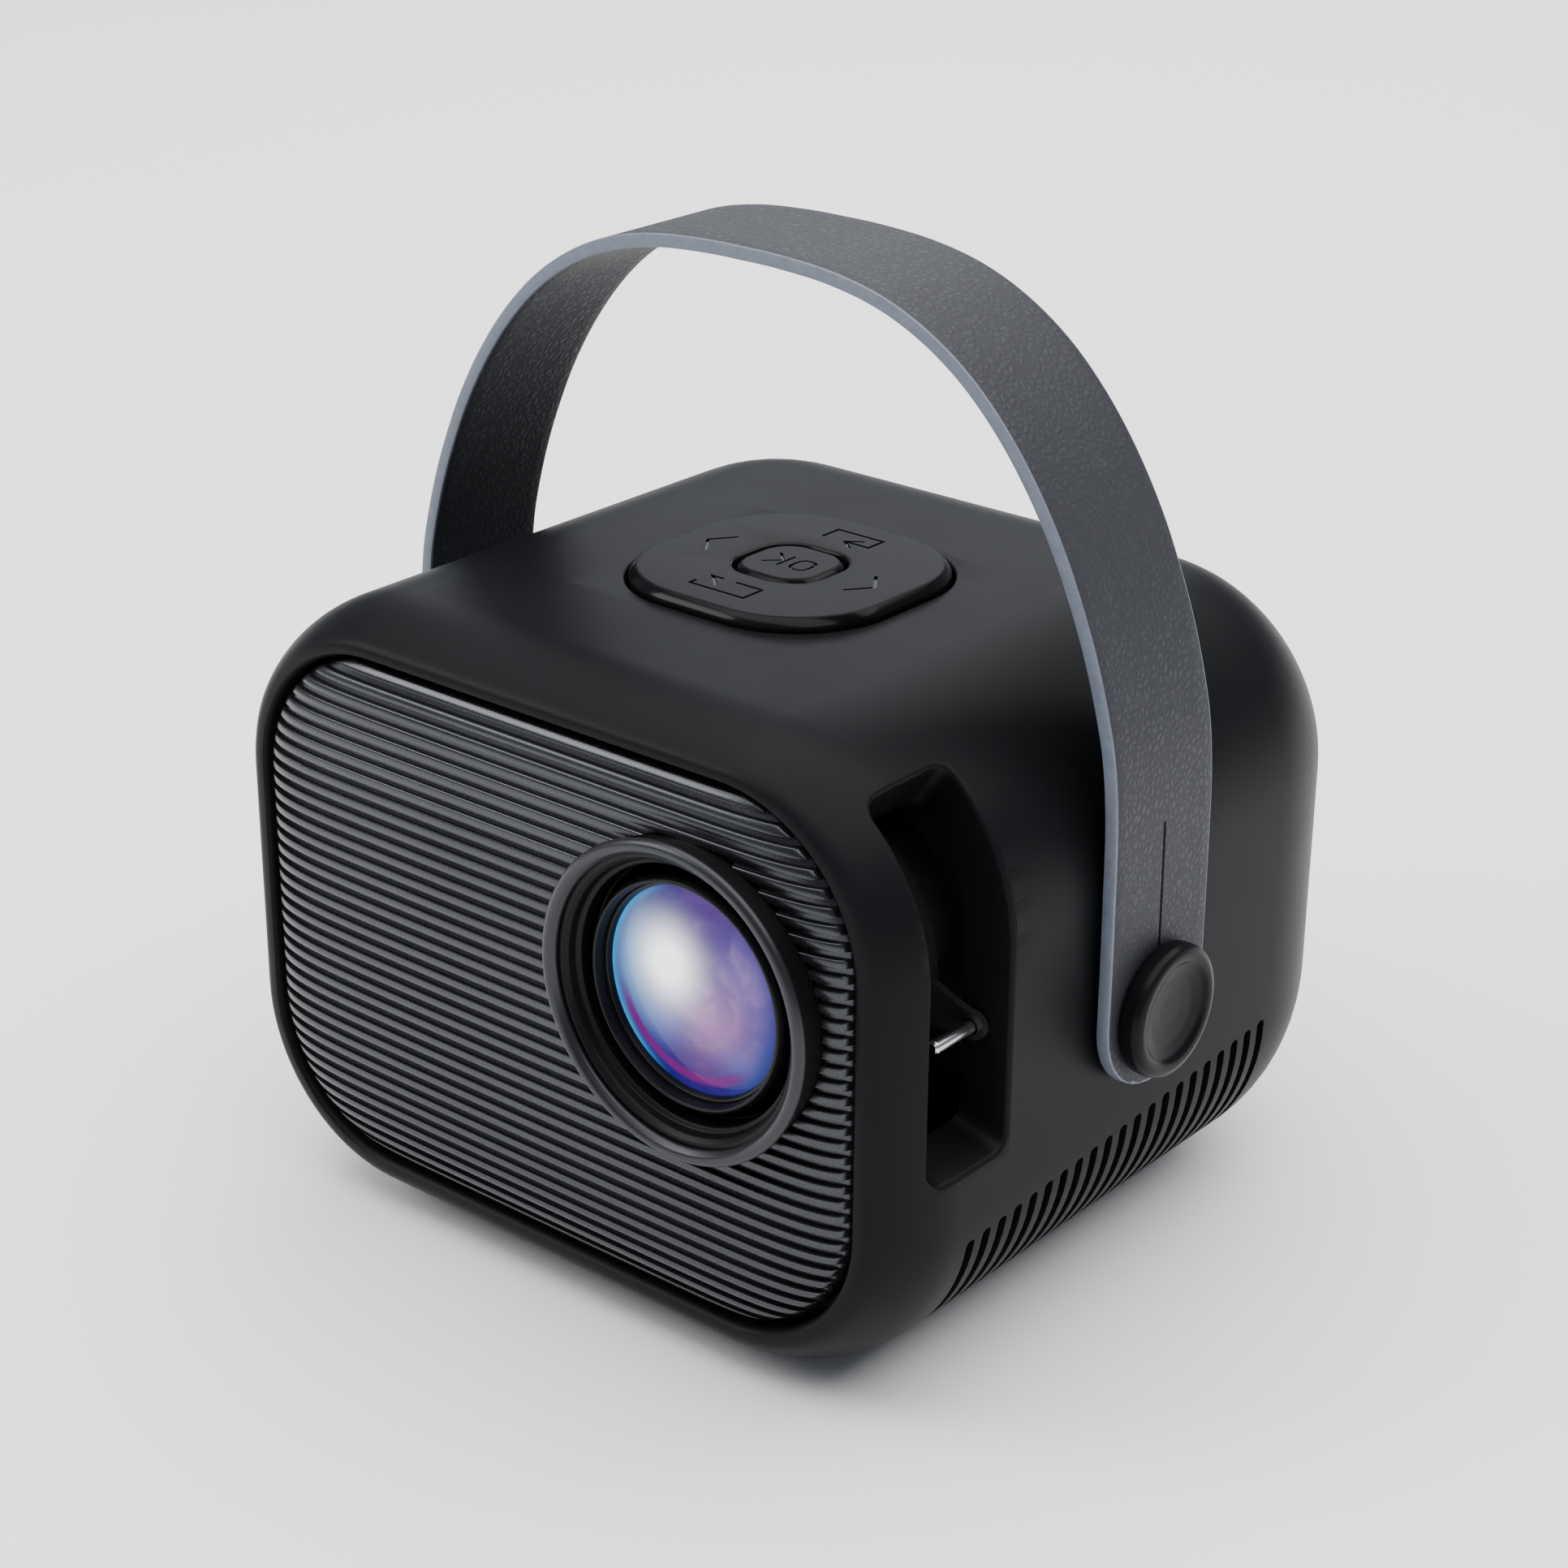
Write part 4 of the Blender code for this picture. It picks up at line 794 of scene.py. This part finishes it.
def key_top(works, at):
    """Textured top, polished chamfer and walls: the gloss follows the height on the key."""
    _, _, z = works.split(at)
    top = z.eased(116.35 * MM, 116.5 * MM)
    broad, speck = works.noise(at, 60.0, 2.0), works.noise(at, 4600.0, 1.0)
    return {"Base Color": works.mixed(broad, (0.0040, 0.0042, 0.0048), (0.0060, 0.0063, 0.0070)),
            "Roughness": 0.17 + 0.25 * top + 0.08 * (speck - 0.5) * top,
            "Normal": works.bumped(speck * top, 0.008 * MM)}


key_black = finish("key_black", key_top, IOR=1.18)
placed(pad, key_black, "rocker", "key_plastic", "keypad_ring", crease=30)
placed(key, key_black, "ok_key", "key_plastic", "ok_button", crease=30)

# ---- rear panel and its fittings ---------------------------------------------------------------
# A textured black panel is screwed into the recess at the back. It carries the sockets, the power key, the
# window of the remote receiver, and the slots in front of the fan.

panel_black = moulded("panel_black", (0.0065, 0.0068, 0.0078), 0.5, grain=0.3, depth=0.014, IOR=1.2)
power = lathed("power_key_turned", stand, [(0.0, 58.0), (3.0, 58.0), (3.0, 63.6), (5.2, 63.6), (5.2, 67.4),
    (4.4, 68.2), (3.4, 68.05), (0.0, 67.9)], (-11.0, 68.0), 0.25, 64)
placed(power, key_black, "power_key", "key_plastic", "power_button", crease=40)


def smoked(works, at):
    return {"Base Color": works.mixed(works.noise(at, 200.0), (0.020, 0.003, 0.006), (0.034, 0.005, 0.010)),
            "Roughness": 0.06 + 0.05 * works.noise(at, 900.0)}


def plated(name, low, high, rough, metal=1.0):
    """Bare or plated metal with faint rolling marks."""
    def paint(works, at):
        marks, broad = works.noise(at, 2400.0, 2.0), works.noise(at, 120.0, 2.0)
        return {"Base Color": works.mixed(0.5 * marks + 0.5 * broad, low, high),
                "Roughness": rough + 0.14 * (marks - 0.5), "Normal": works.bumped(marks, 0.003 * MM)}
    return finish(name, paint, Metallic=metal)


dark_screw = plated("black_zinc_screw", (0.10, 0.10, 0.11), (0.19, 0.19, 0.20), 0.36)
for side, label in ((-1, "left"), (1, "right")):
    screw = lathed(f"rear_screw_{label}_turned", stand, [(0.0, 60.4), (1.1, 60.4), (1.1, 66.2), (2.0, 66.2),
        (2.0, 67.1), (1.3, 67.75), (0.0, 67.8)], (side * REAR_SCREW_X, REAR_Z), 0.2, 40)
    for long, wide in ((1.15, 0.26), (0.26, 1.15)):
        carved(screw, shaped("driver_slot", [stand(rounded(long, wide, 0.1, 2), y, side * REAR_SCREW_X,
            REAR_Z) for y in (66.9, 69)]))
    placed(screw, dark_screw, "chassis", "screw_steel", f"rear_screw_{label}", crease=40)

# ---- base: screws and feet ---------------------------------------------------------------------
# Four pan-head screws hold the bottom cover, and four moulded rubber feet are pressed into their seats.
# One screw and one foot are drawn, and copied to the other three places.


def spread(made, name, places):
    """Repeats a piece drawn at the origin at each of the places, through one geometry tree."""
    mesh = bpy.data.meshes.new(name + "_places")
    mesh.from_pydata([(x * MM, y * MM, 0.0) for x, y in places], [], [])
    marks = linked(name + "_places", mesh)
    growth = Growth(name, {"Places": ("Object", marks)})
    spots = growth.geometry("ObjectInfo", {"transform_space": "ORIGINAL"}, Object=growth.given["Places"])
    growth.run_on(made, growth.geometry("InstanceOnPoints", None, "Instances", Points=spots,
                                        Instance=growth.given["Geometry"]))
    bpy.data.objects.remove(marks)


screws = lathed("case_screws", lay, [(0.0, 3.15), (1.5, 2.62), (2.1, 2.6), (2.6, 2.9), (2.6, 3.6),
    (1.3, 3.6), (1.3, 8.6), (0.0, 8.6)], (0, 0), 0.15, 32)
for long, wide in ((1.5, 0.3), (0.3, 1.5)):
    carved(screws, shaped("driver_slot", [lay(rounded(long, wide, 0.1, 2), z) for z in (2.0, 3.45)]))
spread(screws, "screw_pattern", SCREW_AT)
placed(screws, dark_screw, "chassis", "screw_steel", *(f"case_screw_{k}" for k in (1, 2, 3, 4)),
       crease=40)

foot_rubber = moulded("foot_rubber_black", (0.014, 0.014, 0.0145), 0.82, grain=0.5, depth=0.02,
    Specular_IOR_Level=0.3)
feet = lathed("rubber_feet", lay, [(0.0, 0.25), (3.6, 0.22), (4.3, 0.0), (5.6, 0.0), (6.4, 0.8), (6.5, 3.0),
    (0.0, 3.0)], (0, 0), 0.3, 64)
spread(feet, "foot_pattern", [(-30.0, -38.0), (30.0, -38.0), (-30.0, 14.0), (30.0, 14.0)])
placed(feet, foot_rubber, "chassis", "foot_rubber", *(f"rubber_foot_{k}" for k in (1, 2, 3, 4)),
       crease=40)

insert = lathed("tripod_insert_turned", lay, [(5.0, 3.0), (5.0, 10.6), (2.7, 10.6)]
    + [(2.7 + 0.42 * (k % 2), 10.2 - 0.32 * k) for k in range(22)] + [(3.2, 2.6), (4.6, 2.6)], (0, BASE_Y),
    0.04, 64)
placed(insert, plated("insert_brass", (0.52, 0.34, 0.10), (0.66, 0.46, 0.17), 0.28), "chassis",
    "insert_brass", "tripod_insert", crease=40)

# ---- pieces that keep their CAD shape ----------------------------------------------------------
# The light engine, fan, boards, sockets, speaker, cover and small hidden fittings. Each is its own
# material: anodised and stamped metal, float and Fresnel glass, solder-masked board, paper and rubber.


def kept(material, *nodes):
    """Gives CAD pieces a material and leaves their shape."""
    for name in nodes:
        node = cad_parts[name]
        node.data.materials.clear()
        node.data.materials.append(material)


def board(works, at):
    """Solder mask over copper tracks, with bare plated pads."""
    tracks = works.node("ShaderNodeTexVoronoi", {"feature": "F1", "distance": "MANHATTAN"},
        {"Vector": at, "Scale": 260.0})["Distance"]
    mask = works.mixed(tracks.eased(0.28, 0.34), (0.010, 0.085, 0.040), (0.022, 0.150, 0.070))
    pads = works.node("ShaderNodeTexVoronoi", None, {"Vector": at, "Scale": 330.0,
        "Randomness": 0.4})["Distance"]
    return {"Base Color": works.mixed(pads.eased(0.16, 0.12), mask, (0.62, 0.60, 0.52)),
        "Roughness": 0.32 + 0.14 * works.noise(at, 800.0), "Normal": works.bumped(tracks.eased(0.28, 0.34),
        0.02 * MM)}


def clear(works, at):
    return {"Base Color": works.mixed(works.noise(at, 90.0), (0.62, 0.68, 0.70), (0.72, 0.77, 0.79)),
            "Roughness": 0.04 + 0.04 * works.noise(at, 700.0)}


def grooved(works, at):
    """A Fresnel sheet: fine concentric steps about the lens axis."""
    x, _, z = works.split(at)
    reach = works.maths("SQRT", (x - LENS_X * MM) ** 2.0 + (z - LENS_Z * MM) ** 2.0)
    step = works.maths("FRACT", reach * 2000.0)
    return {"Base Color": works.mixed(step, (0.55, 0.58, 0.61), (0.74, 0.77, 0.80)),
        "Roughness": 0.08 + 0.08 * step, "Normal": works.bumped(step, 0.05 * MM)}


def liquid_crystal(works, at):
    x, _, z = works.split(at)
    dots = works.maths("SINE", x * 9000.0) * works.maths("SINE", z * 9000.0)
    return {"Base Color": works.mixed(dots * 0.5 + 0.5, (0.010, 0.010, 0.014), (0.035, 0.035, 0.045)),
            "Roughness": 0.10 + 0.05 * works.noise(at, 500.0)}


def pulp(works, at):
    fibre = works.noise(at, 1500.0, 4.0, 0.7)
    return {"Base Color": works.mixed(fibre, (0.014, 0.014, 0.014), (0.040, 0.039, 0.037)),
            "Roughness": 0.85 + 0.1 * (fibre - 0.5), "Normal": works.bumped(fibre, 0.06 * MM)}


def enamel(works, at):
    x, _, z = works.split(at)
    spot = works.maths("MAXIMUM", abs(x - LENS_X * MM), abs(z - LENS_Z * MM)).eased(5.0 * MM, 4.7 * MM)
    return {"Base Color": works.mixed(spot, (0.78, 0.78, 0.75), (0.85, 0.62, 0.10)),
            "Roughness": 0.42 + 0.1 * (works.noise(at, 900.0) - 0.5)}


nickel = plated("nickel_plate", (0.42, 0.42, 0.43), (0.60, 0.60, 0.61), 0.28)
socket_black = moulded("socket_black", (0.012, 0.012, 0.012), 0.38, grain=0.25, depth=0.008)
kept(panel_black, "rear_panel")
kept(moulded("cover_black", (0.012, 0.012, 0.0125), 0.60, grain=0.35, depth=0.016, IOR=1.2), "bottom_cover")
kept(nickel, "hdmi_socket", "usb_socket")
kept(socket_black, "av_jack", "dc_jack")
kept(finish("ir_smoked_red", smoked, Specular_IOR_Level=0.6), "ir_window")
kept(moulded("fan_black", (0.014, 0.014, 0.0145), 0.45, grain=0.3, depth=0.01), "fan_frame", "fan_rotor")
kept(moulded("engine_black", (0.016, 0.016, 0.016), 0.62, grain=0.4, depth=0.02), "optical_box",
    "lens_mount")
kept(finish("float_glass", clear, Alpha=0.45, IOR=1.5), "rear_lens_element", "heat_glass")
kept(finish("fresnel_sheet", grooved, Alpha=0.7, IOR=1.49), "fresnel_front", "fresnel_rear")
kept(finish("lcd_sheet", liquid_crystal, Coat_Weight=0.5), "lcd_panel")
kept(plated("mirror_aluminium", (0.72, 0.72, 0.73), (0.84, 0.84, 0.85), 0.12), "light_reflector")
kept(finish("enamelled_core_board", enamel), "led_board")
kept(plated("extruded_aluminium", (0.50, 0.51, 0.52), (0.66, 0.67, 0.68), 0.34), "heatsink")
kept(finish("solder_masked_board", board, Specular_IOR_Level=0.5), "main_board", "keypad_board")
kept(plated("stamped_basket", (0.05, 0.05, 0.055), (0.09, 0.09, 0.095), 0.42, 0.6), "speaker_frame")
kept(finish("paper_cone", pulp), "speaker_cone")
kept(plated("steel_nut", (0.45, 0.45, 0.46), (0.60, 0.60, 0.61), 0.34), "strap_nut_left", "strap_nut_right")
kept(moulded("nylon_washer", (0.016, 0.016, 0.017), 0.42, grain=0.4, depth=0.01), "strap_washer_left",
    "strap_washer_right")
kept(moulded("silicone_gimbal", (0.070, 0.070, 0.072), 0.75, grain=0.5, depth=0.02, drift=0.12),
    "keypad_gimbal")

# ---- stage -------------------------------------------------------------------------------------
# A pale seamless floor under a broad overhead box, with a small key on the left and a low box behind.

edge = lay(circle(4200.0, 96), -0.02)
mesh = bpy.data.meshes.new("pale_floor")
mesh.from_pydata([(x * MM, (y + FRAME_Y) * MM, z * MM) for x, y, z in edge], [], [tuple(range(len(edge)))])
floor = linked("pale_floor", mesh)
floor.data.materials.append(finish("pale_paper", lambda works, at: {
    "Base Color": works.mixed(works.noise(at, 1.2), (0.94, 0.94, 0.94), (0.96, 0.96, 0.96)),
    "Roughness": 0.92 + 0.04 * works.noise(at, 40.0)}, Specular_IOR_Level=0.1))

world = bpy.data.worlds.new("studio")
bpy.context.scene.world = world
world.use_nodes = True
sky = world.node_tree.nodes["Background"].inputs
sky["Color"].default_value, sky["Strength"].default_value = (0.85, 0.90, 1.0, 1.0), 0.30


def soft_box(name, at, aim, wide, high, power, colour=(1.0, 1.0, 1.0)):
    lamp = bpy.data.lights.new(name, "AREA")
    lamp.shape, lamp.size, lamp.size_y, lamp.energy, lamp.color = "RECTANGLE", wide, high, power, colour
    made = linked(name, lamp)
    made.location = at
    made.rotation_euler = (Vector(aim) - Vector(at)).to_track_quat("-Z", "Y").to_euler()


soft_box("overhead_box", (0.25, 0.45, 2.2), (0.25, 0.45, 0.0), 4.0, 4.0, 200.0)
soft_box("key_box", (-0.85, -0.75, 0.75), (0, 0, 0.07), 0.6, 0.5, 9.0)
soft_box("back_box", (-0.75, 1.0, 0.60), (0, 0, 0.10), 0.9, 0.35, 2.2, (0.92, 0.95, 1.0))

AZIMUTH, ELEVATION, ROLL = math.radians(39.85), math.radians(23.64), math.radians(0.39)
back = Vector((math.sin(AZIMUTH) * math.cos(ELEVATION), -math.cos(AZIMUTH) * math.cos(ELEVATION),
    math.sin(ELEVATION)))
right = Vector((math.cos(AZIMUTH), math.sin(AZIMUTH), 0.0))
up = back.cross(right)
right, up = right * math.cos(ROLL) + up * math.sin(ROLL), up * math.cos(ROLL) - right * math.sin(ROLL)
lens = bpy.data.cameras.new("camera")
lens.sensor_width, lens.lens = 36.0, 74.69
lens.clip_start, lens.clip_end = 0.01, 50.0
camera = linked("camera", lens)
camera.matrix_world = Matrix((right, up, back)).transposed().to_4x4()
camera.location = Vector((336.63, -410.78, 305.53)) * MM
bpy.context.scene.camera = camera
